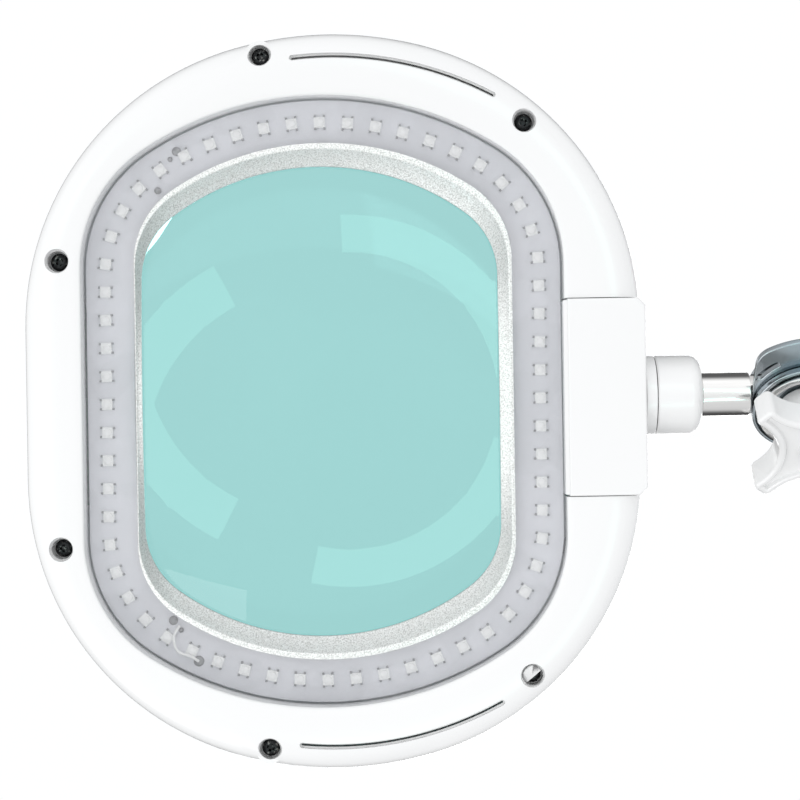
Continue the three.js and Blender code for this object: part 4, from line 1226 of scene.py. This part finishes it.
def knob_outline(inset, arc_steps=18):
    """The knob's four-lobed outline, moved in by an inset; every size has as many points."""
    out = KNOB["tip"] - inset
    centre = KNOB["centre"]
    radius = KNOB["side"] + inset
    soft = max(KNOB["round"] - inset, 0.4)
    fx = out - soft
    fy = centre - math.sqrt((radius + soft) ** 2 - (fx - centre) ** 2)
    lean = math.degrees(math.atan2(centre - fy, centre - fx))
    quarter = [(out, fy * i / 4) for i in range(4)]
    quarter += arc((fx, fy), soft, 0, lean, 6)[:-1]
    quarter += arc((centre, centre), radius, 180 + lean, 225, arc_steps)
    quarter += [(y, x) for x, y in reversed(quarter[:-1])]
    quarter = quarter[:-1]
    outline = []
    for turn in range(4):
        c, s = ((1, 0), (0, 1), (-1, 0), (0, -1))[turn]
        outline += [(x * c - y * s, x * s + y * c) for x, y in quarter]
    return outline


def knob_form(low, hub=None, bore=0.0):
    """A four-lobed knob from its low face up, its top face recessed inside a bead with a boss."""
    top = low + KNOB["thick"]
    edge = [(1.4, low), (0.5, low + 0.3), (0, low + 1.1), (0, top - 1.3), (0.35, top - 0.5),
            (1.0, top - 0.08), (1.5, top), (2.2, top - 0.05), (2.7, top - 0.5), (3.0, top - 1.6),
            (3.3, top - 1.9)]
    rows = [at_height(knob_outline(inset), z) for inset, z in edge]
    last = knob_outline(edge[-1][0])

    def ring(radius, z):
        return [Vector((radius * x / math.hypot(x, y), radius * y / math.hypot(x, y), z)) for x, y in last]

    floor = top - 1.95
    foot = [tuple(p.xy) for p in ring(7.4, 0)]
    rows += [at_height(between(last, foot, share), floor) for share in (0.4, 1)]
    rows += [ring(6.6, floor + 0.3), ring(6.4, floor + 0.9), ring(6.1, top), ring(5.6, top + 0.2),
             ring(0.5, top + 0.25)]
    base = [ring(bore or 0.5, low)]
    if hub:
        start, radius = hub
        base = [ring(bore, top - 3), ring(bore, start), ring(radius - 0.5, start), ring(radius, start + 0.5),
                ring(radius, low - 0.4), ring(radius + 0.5, low)]
    return loft(base + rows)


class MAGNIFIER_OT_neck(bpy.types.Operator):
    """Turns the neck's hub and plated rod"""
    bl_idname = "magnifier.neck"
    bl_label = "Neck"

    def execute(self, context):
        near, seam = TILT_TO_HEAD - 143, TILT_TO_HEAD - 125.4
        radius, corner, bore = 15.7, 4.5, 5.3
        end = arc((radius - corner, near + corner), corner, -90, 0, 10)
        hub = [(0, near)] + end + [(radius, seam - 0.6), (radius - 0.5, seam), (bore, seam), (bore, near + 3),
                                   (0, near + 3)]
        add_piece("hub", turned(hub, "X", steps=96, soften=0), NECK, ["neck_hub"], "white_plastic")
        rod = turned([(0, 22.2), (8.7, 22.2), (8.7, near - GAP), (0, near - GAP)], "X", steps=96, soften=0.7)
        flat = block((15.4, -TONGUE_HALF, -8), (24, TONGUE_HALF, 8), 0.6)
        add_piece("rod", together(rod, flat), NECK, ["neck_rod"], "chrome")
        return {"FINISHED"}


class MAGNIFIER_OT_fork_plates(bpy.types.Operator):
    """Stamps the two fork plates, the near one with its arc slot"""
    bl_idname = "magnifier.fork_plates"
    bl_label = "Fork Plates"

    def execute(self, context):
        above, below, corner = 21.9, 33.5, 9
        shoulder = -math.sqrt((below - corner) ** 2 - (above - corner) ** 2)
        meet = math.degrees(math.atan2(shoulder, above - corner))
        outline = arc((0, 0), above, 0, 180, 48)
        outline += arc((corner - above, shoulder), corner, 180, 180 - meet, 10)
        outline += arc((0, 0), below, 180 - meet, 360 + meet, 40)
        outline += arc((above - corner, shoulder), corner, 360 + meet, 360, 10)
        outline = distinct(outline)
        hole = circle(0, 0, BOLT_RADIUS + GAP)
        slot = arc_slot(**FORK_SLOT, steps=14, tip_steps=6)
        near = plate(outline, -PLATE_OUT, -PLATE_IN, [hole, slot], 0.45)
        add_piece("near_fork_plate", near, NECK, ["fork_plate_near"], "zinc_steel")
        far = plate(circle(0, 0, above, 96), PLATE_IN, PLATE_OUT, [hole], 0.45)
        add_piece("far_fork_plate", far, NECK, ["fork_plate_far"], "zinc_steel")
        return {"FINISHED"}


class MAGNIFIER_OT_tilt_stack(bpy.types.Operator):
    """Stacks the cup washer, friction ring, far washer and bolt on the tilt joint"""
    bl_idname = "magnifier.tilt_stack"
    bl_label = "Tilt Joint Stack"

    def execute(self, context):
        bore = BOLT_RADIUS + GAP
        floor = PLATE_OUT + GAP
        cup = [(bore, -floor), (20.9, -floor), (21.7, -floor - 0.8), (21.7, -9.1), (21.4, -9.4), (20.7, -9.4),
               (20.4, -9.1), (20.4, -floor - 1.8), (19.8, -floor - 1.2), (bore, -floor - 1.2)]
        add_piece("cup_washer", turned(cup, "Y", wrap=True, soften=0.2, steps=96), NECK, ["tilt_cup_washer"],
                  "zinc_steel")
        ring = [(16.5, -11), (19.4, -11), (19.4, -floor - 1.5), (16.5, -floor - 1.5)]
        add_piece("friction_ring", turned(ring, "Y", wrap=True, soften=0.9, steps=96), NECK,
                  ["tilt_friction_ring"], "chrome")
        washer = [(bore, floor), (11, floor), (11, floor + 1.5), (bore, floor + 1.5)]
        add_piece("far_washer", turned(washer, "Y", wrap=True, soften=0.3), NECK, ["tilt_far_washer"],
                  "zinc_steel")
        head = floor + 1.5 + GAP
        shank = turned([(0, -28), (3.2, -28), (4, -27.2), (4, head + 0.2), (0, head + 0.2)], "Y")
        hexagon = turned([(0, head), (7.5, head), (7.5, head + 4.4), (6.6, head + 5), (0, head + 5)], "Y",
                         steps=6, soften=0)
        add_piece("bolt", together(shank, hexagon), NECK, ["tilt_bolt"], "zinc_steel")
        return {"FINISHED"}


class MAGNIFIER_OT_knobs(bpy.types.Operator):
    """Moulds the tilt knob and the clamp screw's knob"""
    bl_idname = "magnifier.knobs"
    bl_label = "Knobs"

    def execute(self, context):
        tilt = knob_form(KNOB["low"], hub=(PLATE_OUT + 2.2, 12), bore=BOLT_RADIUS + GAP)
        turn = Matrix.Rotation(math.radians(-KNOB["turn"]), 4, "Y")
        tilt.transform(turn @ Matrix.Rotation(math.pi / 2, 4, "X"))
        add_piece("tilt_hand_knob", tilt, NECK, ["tilt_knob"], "white_plastic")
        clamp = knob_form(0)
        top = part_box("clamp_knob")[1].z / MM
        clamp.transform(Matrix.Translation((SCREW_X, 0, top)) @ Matrix.Rotation(math.pi, 4, "X"))
        add_piece("clamp_hand_knob", clamp, ARM, ["clamp_knob"], "white_plastic")
        return {"FINISHED"}


# ---- Operators: arm ------------------------------------------------------------------------


def flat(joint):
    """A pivot's place in the arm's plane."""
    place = pivot(joint)
    return (place.x, place.z)


def along(start, end):
    """From a rail's own x axis to the row frame in metres, and the rail's length."""
    first, last = pivot(start), Vector(end)
    run = last - first
    angle = math.atan2(run.z, run.x)
    return ARM @ Matrix.Translation(first) @ Matrix.Rotation(-angle, 4, "Y"), run.length


ELBOW_LINK = pivot("elbow_level") + pivot("lower_link_swing") - pivot("lower_arm_lift")
HEAD_LINK = pivot("head_level") + pivot("upper_link_swing") - pivot("upper_arm_lift")


def rail_form(length):
    """A pressed channel, open below, with drilled lugs at its ends."""
    lug, half, side, wall = RAIL["lug"], RAIL["half"], RAIL["side"], RAIL["wall"]
    start, end = lug, length - lug
    outer = rounded([(-side, -half), (-side, half), (side, half), (side, -half)], 2.4, 5)
    inner = rounded([(side - wall, -half), (side - wall, half - wall), (wall - side, half - wall),
                     (wall - side, -half)], 1.2, 5)
    section = plate([tuple(p) for p in outer + inner], start, end, edge=0.25, standing=False)
    section.transform(Matrix(((0, 0, 1, 0), (1, 0, 0, 0), (0, 1, 0, 0), (0, 0, 0, 1))))
    plugs = [block((x, wall - side - 0.1, 0.1 - half), (x + 3, side - wall + 0.1, half - wall + 0.1), 0.3)
             for x in (start, end - 3)]
    lugs = []
    for pivot_x, root, sign in ((0, start + 1, 1), (length, end - 1, -1)):
        radius = RAIL["lug_radius"]
        narrow = radius - 2
        first = 90 if sign > 0 else -90
        outline = arc((pivot_x, 0), radius, first, first + 180, 24)
        outline += [(root, -sign * narrow), (root, sign * narrow)]
        hole = circle(pivot_x, 0, PIN_RADIUS + GAP, 32)
        lugs.append(plate(outline, -TONGUE_HALF, TONGUE_HALF, [hole], 0.4))
    return together(section, *plugs, *lugs)


class MAGNIFIER_OT_rails(bpy.types.Operator):
    """Presses the four rails of the two arm sections"""
    bl_idname = "magnifier.rails"
    bl_label = "Rails"

    def execute(self, context):
        ends = {
            "lower_rail": ("lower_arm_lift", pivot("elbow_level")),
            "lower_link_rail": ("lower_link_swing", ELBOW_LINK),
            "upper_rail": ("upper_arm_lift", pivot("head_level")),
            "upper_link_rail": ("upper_link_swing", HEAD_LINK),
        }
        for node, (start, end) in ends.items():
            place, length = along(start, end)
            add_piece(f"{node}_channel", rail_form(length), place, [node], "white_enamel")
        return {"FINISHED"}


class MAGNIFIER_OT_springs(bpy.types.Operator):
    """Winds the two balance springs that lie inside the main rails"""
    bl_idname = "magnifier.springs"
    bl_label = "Springs"

    def execute(self, context):
        sizes = context.scene.magnifier_sizes
        wire = sizes.wire_radius / MM
        for node, start, end in (("lower_spring", "lower_arm_lift", "elbow_level"),
                                 ("upper_spring", "upper_arm_lift", "head_level")):
            place, length = along(start, pivot(end))
            first, last = RAIL["lug"] + 12, length * 0.52
            run = last - first
            mesh = nodes_shape(node, coil_tree(), bpy.data.meshes.new("none"), {
                "Turns": run / (sizes.spring_pitch / MM), "Coil Radius": 3.6 - wire, "Length": run,
                "Wire Radius": wire, "Finish": finish_of("spring_steel")})
            mesh.transform(Matrix.Translation((first, 0, -0.9)) @ Matrix.Rotation(math.pi / 2, 4, "Y"))
            add_piece(f"{node}_coil", mesh, place, [node], "spring_steel", smooth=60)
        return {"FINISHED"}


class MAGNIFIER_OT_pivot_pins(bpy.types.Operator):
    """Rivets a pin through every pivot of the arm"""
    bl_idname = "magnifier.pivot_pins"
    bl_label = "Pivot Pins"

    def execute(self, context):
        head, cap = PLATE_OUT + GAP, 5.2
        dome = smooth_run([(cap, head), (cap, head + 0.8), (cap - 1.2, head + 1.8), (2, head + 2.15),
                           (0, head + 2.2)], 4)
        half = [(PIN_RADIUS, head)] + [tuple(p) for p in dome]
        profile = [(r, -h) for r, h in reversed(half)] + half
        main, link = pivot("lower_arm_lift"), pivot("lower_link_swing")
        groups = {
            "base": (["base_pin_1", "base_pin_2"], [main, link]),
            "elbow": ([f"elbow_pin_{i}" for i in range(1, 5)],
                      [pivot("elbow_level"), ELBOW_LINK, pivot("upper_arm_lift"), pivot("upper_link_swing")]),
            "head_bracket": (["head_pin_1", "head_pin_2"], [pivot("head_level"), HEAD_LINK]),
        }
        for body, (nodes, places) in groups.items():
            pin = turned(profile, "Y", steps=32, soften=0)
            mesh = copies(f"{body}_pins", pin, places, 0.0, "zinc_steel")
            add_piece(f"{body}_pivot_pins", mesh, ARM, nodes, "zinc_steel", smooth=40)
        return {"FINISHED"}


class MAGNIFIER_OT_brackets(bpy.types.Operator):
    """Stamps the base bracket, the elbow and head plates and the tongue of the tilt joint"""
    bl_idname = "magnifier.brackets"
    bl_label = "Brackets and Plates"

    def execute(self, context):
        main, link = flat("lower_arm_lift"), flat("lower_link_swing")
        foot, edge = 52, 11
        thick = PLATE_OUT - PLATE_IN
        base = hull_outline([(main[0] + 2, foot + 8, 8), (link[0] - 2, foot + 8, 8), (*link, edge),
                             (*main, edge)])
        holes = [circle(*at, PIN_RADIUS + GAP, 32) for at in (main, link)]
        sides = [plate(distinct(base), low, low + thick, holes) for low in (-PLATE_OUT, PLATE_IN)]
        block_foot = block((-20, -PLATE_OUT, foot), (20, PLATE_OUT, foot + 9), 0.8)
        add_piece("base_fork", together(*sides, block_foot), ARM, ["base_bracket"], "zinc_steel")
        elbow = [flat("elbow_level"), (ELBOW_LINK.x, ELBOW_LINK.z), flat("upper_arm_lift")]
        pins = elbow + [flat("upper_link_swing")]
        head = [(HEAD_LINK.x, HEAD_LINK.z), flat("head_level")]
        for prefix, corners, pivots in (("elbow_plate", elbow, pins), ("head_plate", head, head)):
            outline = distinct(hull_outline([(*at, edge) for at in corners]))
            holes = [circle(*at, PIN_RADIUS + GAP, 32) for at in pivots]
            for side, low in (("near", -PLATE_OUT), ("far", PLATE_IN)):
                form = plate(outline, low, low + thick, holes)
                add_piece(f"{side}_{prefix}", form, ARM, [f"{prefix}_{side}"], "zinc_steel")
        middle = (head[0][1] + head[1][1]) / 2
        tongue = distinct(hull_outline([(head[1][0] + 4, middle, 5.5), (TILT.x, TILT.z, 13.8)]))
        form = plate(tongue, -TONGUE_HALF, TONGUE_HALF, [circle(TILT.x, TILT.z, BOLT_RADIUS + GAP)])
        add_piece("tongue", form, ARM, ["tilt_tongue"], "zinc_steel")
        return {"FINISHED"}


# ---- Operators: clamp ----------------------------------------------------------------------


class MAGNIFIER_OT_clamp_frame(bpy.types.Operator):
    """Casts the clamp's frame with its socket and screw boss"""
    bl_idname = "magnifier.clamp_frame"
    bl_label = "Clamp Frame"

    def execute(self, context):
        back, front, inside, top, bottom, low, half, corner = -40, 32, -31, 8, -84, -75, 22, 10
        outline = arc((back + corner, top - corner), corner, 90, 180, 12)
        outline += arc((back + corner, bottom + corner), corner, 180, 270, 12)
        outline += arc((front - 11, bottom + 3), 3, -90, 0, 6) + arc((front - 11, low - 3), 3, 0, 90, 6)
        outline += arc((inside + 4, low + 4), 4, 270, 180, 6) + arc((inside + 4, -4), 4, 180, 90, 6)
        outline += [(front - 0.01, 0)] + arc((front - 3, top - 3), 3, 0, 90, 6)
        body = plate(distinct(outline), -half, half, edge=1.6)
        socket = [(6.55, 10), (6.55, 43), (7.6, 44), (12.2, 44), (13, 43.2), (13, 13), (13.6, 9.6),
                  (15.5, 7.6), (6.55, 7.4)]
        socket = turned(socket, wrap=True, soften=0.5)
        boss = [(5.3, -94), (10.2, -94), (11, -93.2), (11, -87), (11.8, -84.6), (13.4, -83.6), (5.3, -83.4)]
        boss = turned(boss, wrap=True, soften=0.5, at=(SCREW_X, 0, 0))
        bore = turned([(0, -100), (5.3, -100), (5.3, -70), (0, -70)], at=(SCREW_X, 0, 0), soften=0)
        body = carve(body, bore)
        add_piece("clamp_casting", together(body, socket, boss), ARM, ["clamp_frame"], "white_enamel")
        return {"FINISHED"}


class MAGNIFIER_OT_post(bpy.types.Operator):
    """Turns the post that the arm swivels on"""
    bl_idname = "magnifier.post"
    bl_label = "Base Post"

    def execute(self, context):
        profile = [(0, 11), (5.6, 11), (6.25, 11.8), (6.25, 44.3), (11.4, 44.3), (12, 44.9), (12, 51.1),
                   (11.4, 51.7), (0, 51.7)]
        add_piece("swivel_post", turned(profile, soften=0.25), ARM, ["base_post"], "zinc_steel")
        return {"FINISHED"}


class MAGNIFIER_OT_clamp_screw(bpy.types.Operator):
    """Cuts the clamp screw's thread and moulds its pressure pad"""
    bl_idname = "magnifier.clamp_screw"
    bl_label = "Clamp Screw and Pad"

    def execute(self, context):
        low, high = (corner.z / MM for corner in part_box("clamp_screw"))
        pitch = context.scene.magnifier_sizes.thread_pitch / MM
        steps, root, crest = 40, 4.2, 4.95
        rows = []
        z = low
        while z < high - 1:
            row = []
            for i in range(steps):
                phase = (z / pitch - i / steps) % 1
                ridge = min(max(1.8 - abs(phase - 0.5) * 5, 0), 1)
                fade = min(max((high - 6 - z) / 2, 0), 1) * min(max((z - low - 9) / 2, 0), 1)
                radius = root + (crest - root) * ridge * fade if z > low + 8 else 3.95
                angle = math.tau * i / steps
                row.append(Vector((radius * math.cos(angle), radius * math.sin(angle), z)))
            rows.append(row)
            z += 0.5
        tip = [at_height(circle(0, 0, r, steps), h) for r, h in ((3.9, high - 0.8), (3.2, high))]
        form = loft(rows + tip)
        form.transform(Matrix.Translation((SCREW_X, 0, 0)))
        add_piece("threaded_screw", form, ARM, ["clamp_screw"], "zinc_steel", smooth=60)
        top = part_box("clamp_pad")[1].z / MM
        face = []
        for radius in (4, 7, 10, 13):
            face += [(radius - 0.8, top), (radius - 0.4, top - 0.7), (radius + 0.4, top - 0.7),
                     (radius + 0.8, top)]
        rim = [(14.4, top), (15, top - 0.6), (15, top - 4.4), (14.4, top - 5), (8.6, top - 5)]
        hub = [(8, top - 5.6), (8, top - 12), (5.3, top - 12), (5.3, top - 6.5), (0, top - 6.5)]
        pad = [(0, top)] + face + rim + hub
        add_piece("pressure_pad", turned(pad, at=(SCREW_X, 0, 0), soften=0.25), ARM, ["clamp_pad"],
                  "black_plastic")
        return {"FINISHED"}


# ---- Operators: stage ----------------------------------------------------------------------


class MAGNIFIER_OT_stage(bpy.types.Operator):
    """Sets out the floor, the studio light and the camera"""
    bl_idname = "magnifier.stage"
    bl_label = "Stage"

    def execute(self, context):
        self.add_floor()
        self.add_world(context.scene)
        self.add_softboxes()
        self.add_lights()
        self.add_camera(context.scene)
        context.scene.view_settings.view_transform = "Standard"
        return {"FINISHED"}

    def add_floor(self):
        half, z = FLOOR_HALF, CAD_LOW.z - FLOOR_DROP
        mesh = bpy.data.meshes.new("floor")
        mesh.from_pydata([(-half, -half, z), (half, -half, z), (half, half, z), (-half, half, z)], [],
                         [(0, 1, 2, 3)])
        mesh.materials.append(finish_of("floor_paint"))
        floor = linked("floor", mesh)
        floor.visible_glossy = False
        floor.visible_diffuse = False

    def add_softboxes(self):
        """Curved light cards before the head, each laid out where the lens mirrors it as a band."""
        glow = Look("card_glow", {"Base Color": (0, 0, 0, 1), "Emission Color": (0.64, 1, 0.9, 1),
                                  "Emission Strength": 3.1})
        steps = LIGHT_CARD_STEPS
        for i, (mid_x, mid_y, inner, outer, start, end) in enumerate(LIGHT_BANDS):
            rows = [[self.mirrored(x, y) for x, y in arc((mid_x, mid_y), radius, start, end, steps)]
                    for radius in (inner, outer)]
            card = bmesh.new()
            edges = [[card.verts.new(point) for point in row] for row in rows]
            for k in range(steps):
                card.faces.new((edges[0][k], edges[0][k + 1], edges[1][k + 1], edges[1][k]))
            card.transform(HEAD)
            mesh = bpy.data.meshes.new("softbox")
            card.to_mesh(mesh)
            card.free()
            mesh.materials.append(glow.material)
            softbox = linked(f"softbox_{i + 1}", mesh)
            for ray in ("camera", "diffuse", "transmission", "shadow"):
                setattr(softbox, f"visible_{ray}", False)

    def mirrored(self, x, y):
        """Where the line of sight to a point of the lens goes on to after its front face mirrors it."""
        spot = Vector((x, y, LENS["mid"] + lens_height(x, y)))
        lean = Vector((x - LENS_SIGHT[0], y, 0))
        normal = Vector((lean.x, lean.y, math.sqrt(LENS["radius"] ** 2 - lean.length_squared))).normalized()
        sight = (spot - Vector(CAMERA)).normalized().reflect(normal)
        return spot + sight * ((LIGHT_CARD_Z - spot.z) / sight.z)

    def add_world(self, scene):
        """White behind the lamp; for light and gloss, brighter from the light side than from behind."""
        world = bpy.data.worlds.new("studio")
        world.use_nodes = True
        graph = Graph(world.node_tree)
        direction = graph.node("ShaderNodeTexCoord", result="Generated")
        facing, up, across = (
            graph.node("ShaderNodeVectorMath", {"operation": "DOT_PRODUCT"}, {0: direction, 1: axis}, "Value")
            for axis in (LIGHT_SIDE, HEAD_UP, HEAD_RIGHT))
        front = graph.node("ShaderNodeMapRange", {"interpolation_type": "SMOOTHSTEP"},
                           {"Value": facing, "From Min": -0.4, "From Max": 0.3})
        level = (0.1 + front * 1.06 + 0.8 * across * across * (1 - front)) * (1 + 0.25 * up)
        direct = graph.node("ShaderNodeLightPath", result="Is Camera Ray")
        through = Value(graph, direct.socket.node.outputs["Is Transmission Ray"])
        seen = graph.maths("MAXIMUM", direct, through)
        background = world.node_tree.nodes["Background"]
        graph.feed(background.inputs["Color"], (0.98, 0.99, 1.0, 1.0))
        graph.feed(background.inputs["Strength"], seen * 1.02 + (1 - seen) * level)
        scene.world = world

    def add_lights(self):
        centre = HEAD.translation
        softboxes = (
            ("key", centre + Vector((-0.5, 0.6, 1.2)), 1.2, 14),
            ("fill", centre + Vector((0.9, -1.3, 0.2)), 1.2, 6),
        )
        for name, place, size, power in softboxes:
            light = bpy.data.lights.new(name, "AREA")
            light.shape = "SQUARE"
            light.size = size
            light.energy = power
            lamp = linked(name, light)
            lamp.location = place
            lamp.rotation_mode = "QUATERNION"
            lamp.rotation_quaternion = (place - centre).to_track_quat("Z", "Y")
            lamp.visible_camera = False

    def add_camera(self, scene):
        roll = math.radians(CAMERA_ROLL)
        up = HEAD_UP * math.cos(roll) + HEAD_RIGHT * math.sin(roll)
        right = up.cross(LIGHT_SIDE)
        place = HEAD @ Vector(CAMERA)
        data = bpy.data.cameras.new("camera")
        data.lens = CAMERA_LENS
        data.clip_start = 0.01
        camera = linked("camera", data)
        turn = Matrix((right, up, LIGHT_SIDE)).transposed().to_4x4()
        camera.matrix_world = Matrix.Translation(place) @ turn
        scene.camera = camera


# ---- Panel and registering -----------------------------------------------------------------

PIECES = (
    MAGNIFIER_OT_front_housing, MAGNIFIER_OT_back_housing, MAGNIFIER_OT_light_cover, MAGNIFIER_OT_led_board,
    MAGNIFIER_OT_lens, MAGNIFIER_OT_lens_frame, MAGNIFIER_OT_mount_block, MAGNIFIER_OT_housing_screws,
    MAGNIFIER_OT_head_fittings, MAGNIFIER_OT_lens_cover, MAGNIFIER_OT_inner_parts, MAGNIFIER_OT_neck,
    MAGNIFIER_OT_fork_plates, MAGNIFIER_OT_tilt_stack, MAGNIFIER_OT_knobs, MAGNIFIER_OT_rails,
    MAGNIFIER_OT_springs, MAGNIFIER_OT_pivot_pins, MAGNIFIER_OT_brackets, MAGNIFIER_OT_clamp_frame,
    MAGNIFIER_OT_post, MAGNIFIER_OT_clamp_screw, MAGNIFIER_OT_stage,
)


class MAGNIFIER_PT_pieces(bpy.types.Panel):
    """Lists the lamp's pieces, sizes and colours"""
    bl_idname = "MAGNIFIER_PT_pieces"
    bl_label = "Magnifying Lamp"
    bl_space_type = "VIEW_3D"
    bl_region_type = "UI"
    bl_category = "Magnifier"

    def draw(self, context):
        for group in (context.scene.magnifier_sizes, context.scene.magnifier_colours):
            column = self.layout.column()
            for name in group.__annotations__:
                column.prop(group, name)
        column = self.layout.column(align=True)
        for operator in PIECES:
            column.operator(operator.bl_idname)


CLASSES = (MAGNIFIER_PG_sizes, MAGNIFIER_PG_colours, *PIECES, MAGNIFIER_PT_pieces)


def register():
    for cls in CLASSES:
        bpy.utils.register_class(cls)
    bpy.types.Scene.magnifier_sizes = PointerProperty(type=MAGNIFIER_PG_sizes)
    bpy.types.Scene.magnifier_colours = PointerProperty(type=MAGNIFIER_PG_colours)


def unregister():
    del bpy.types.Scene.magnifier_colours
    del bpy.types.Scene.magnifier_sizes
    for cls in reversed(CLASSES):
        bpy.utils.unregister_class(cls)


def main():
    register()
    for operator in PIECES:
        group, name = operator.bl_idname.split(".")
        getattr(getattr(bpy.ops, group), name)()
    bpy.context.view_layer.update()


if __name__ == "__main__":
    main()
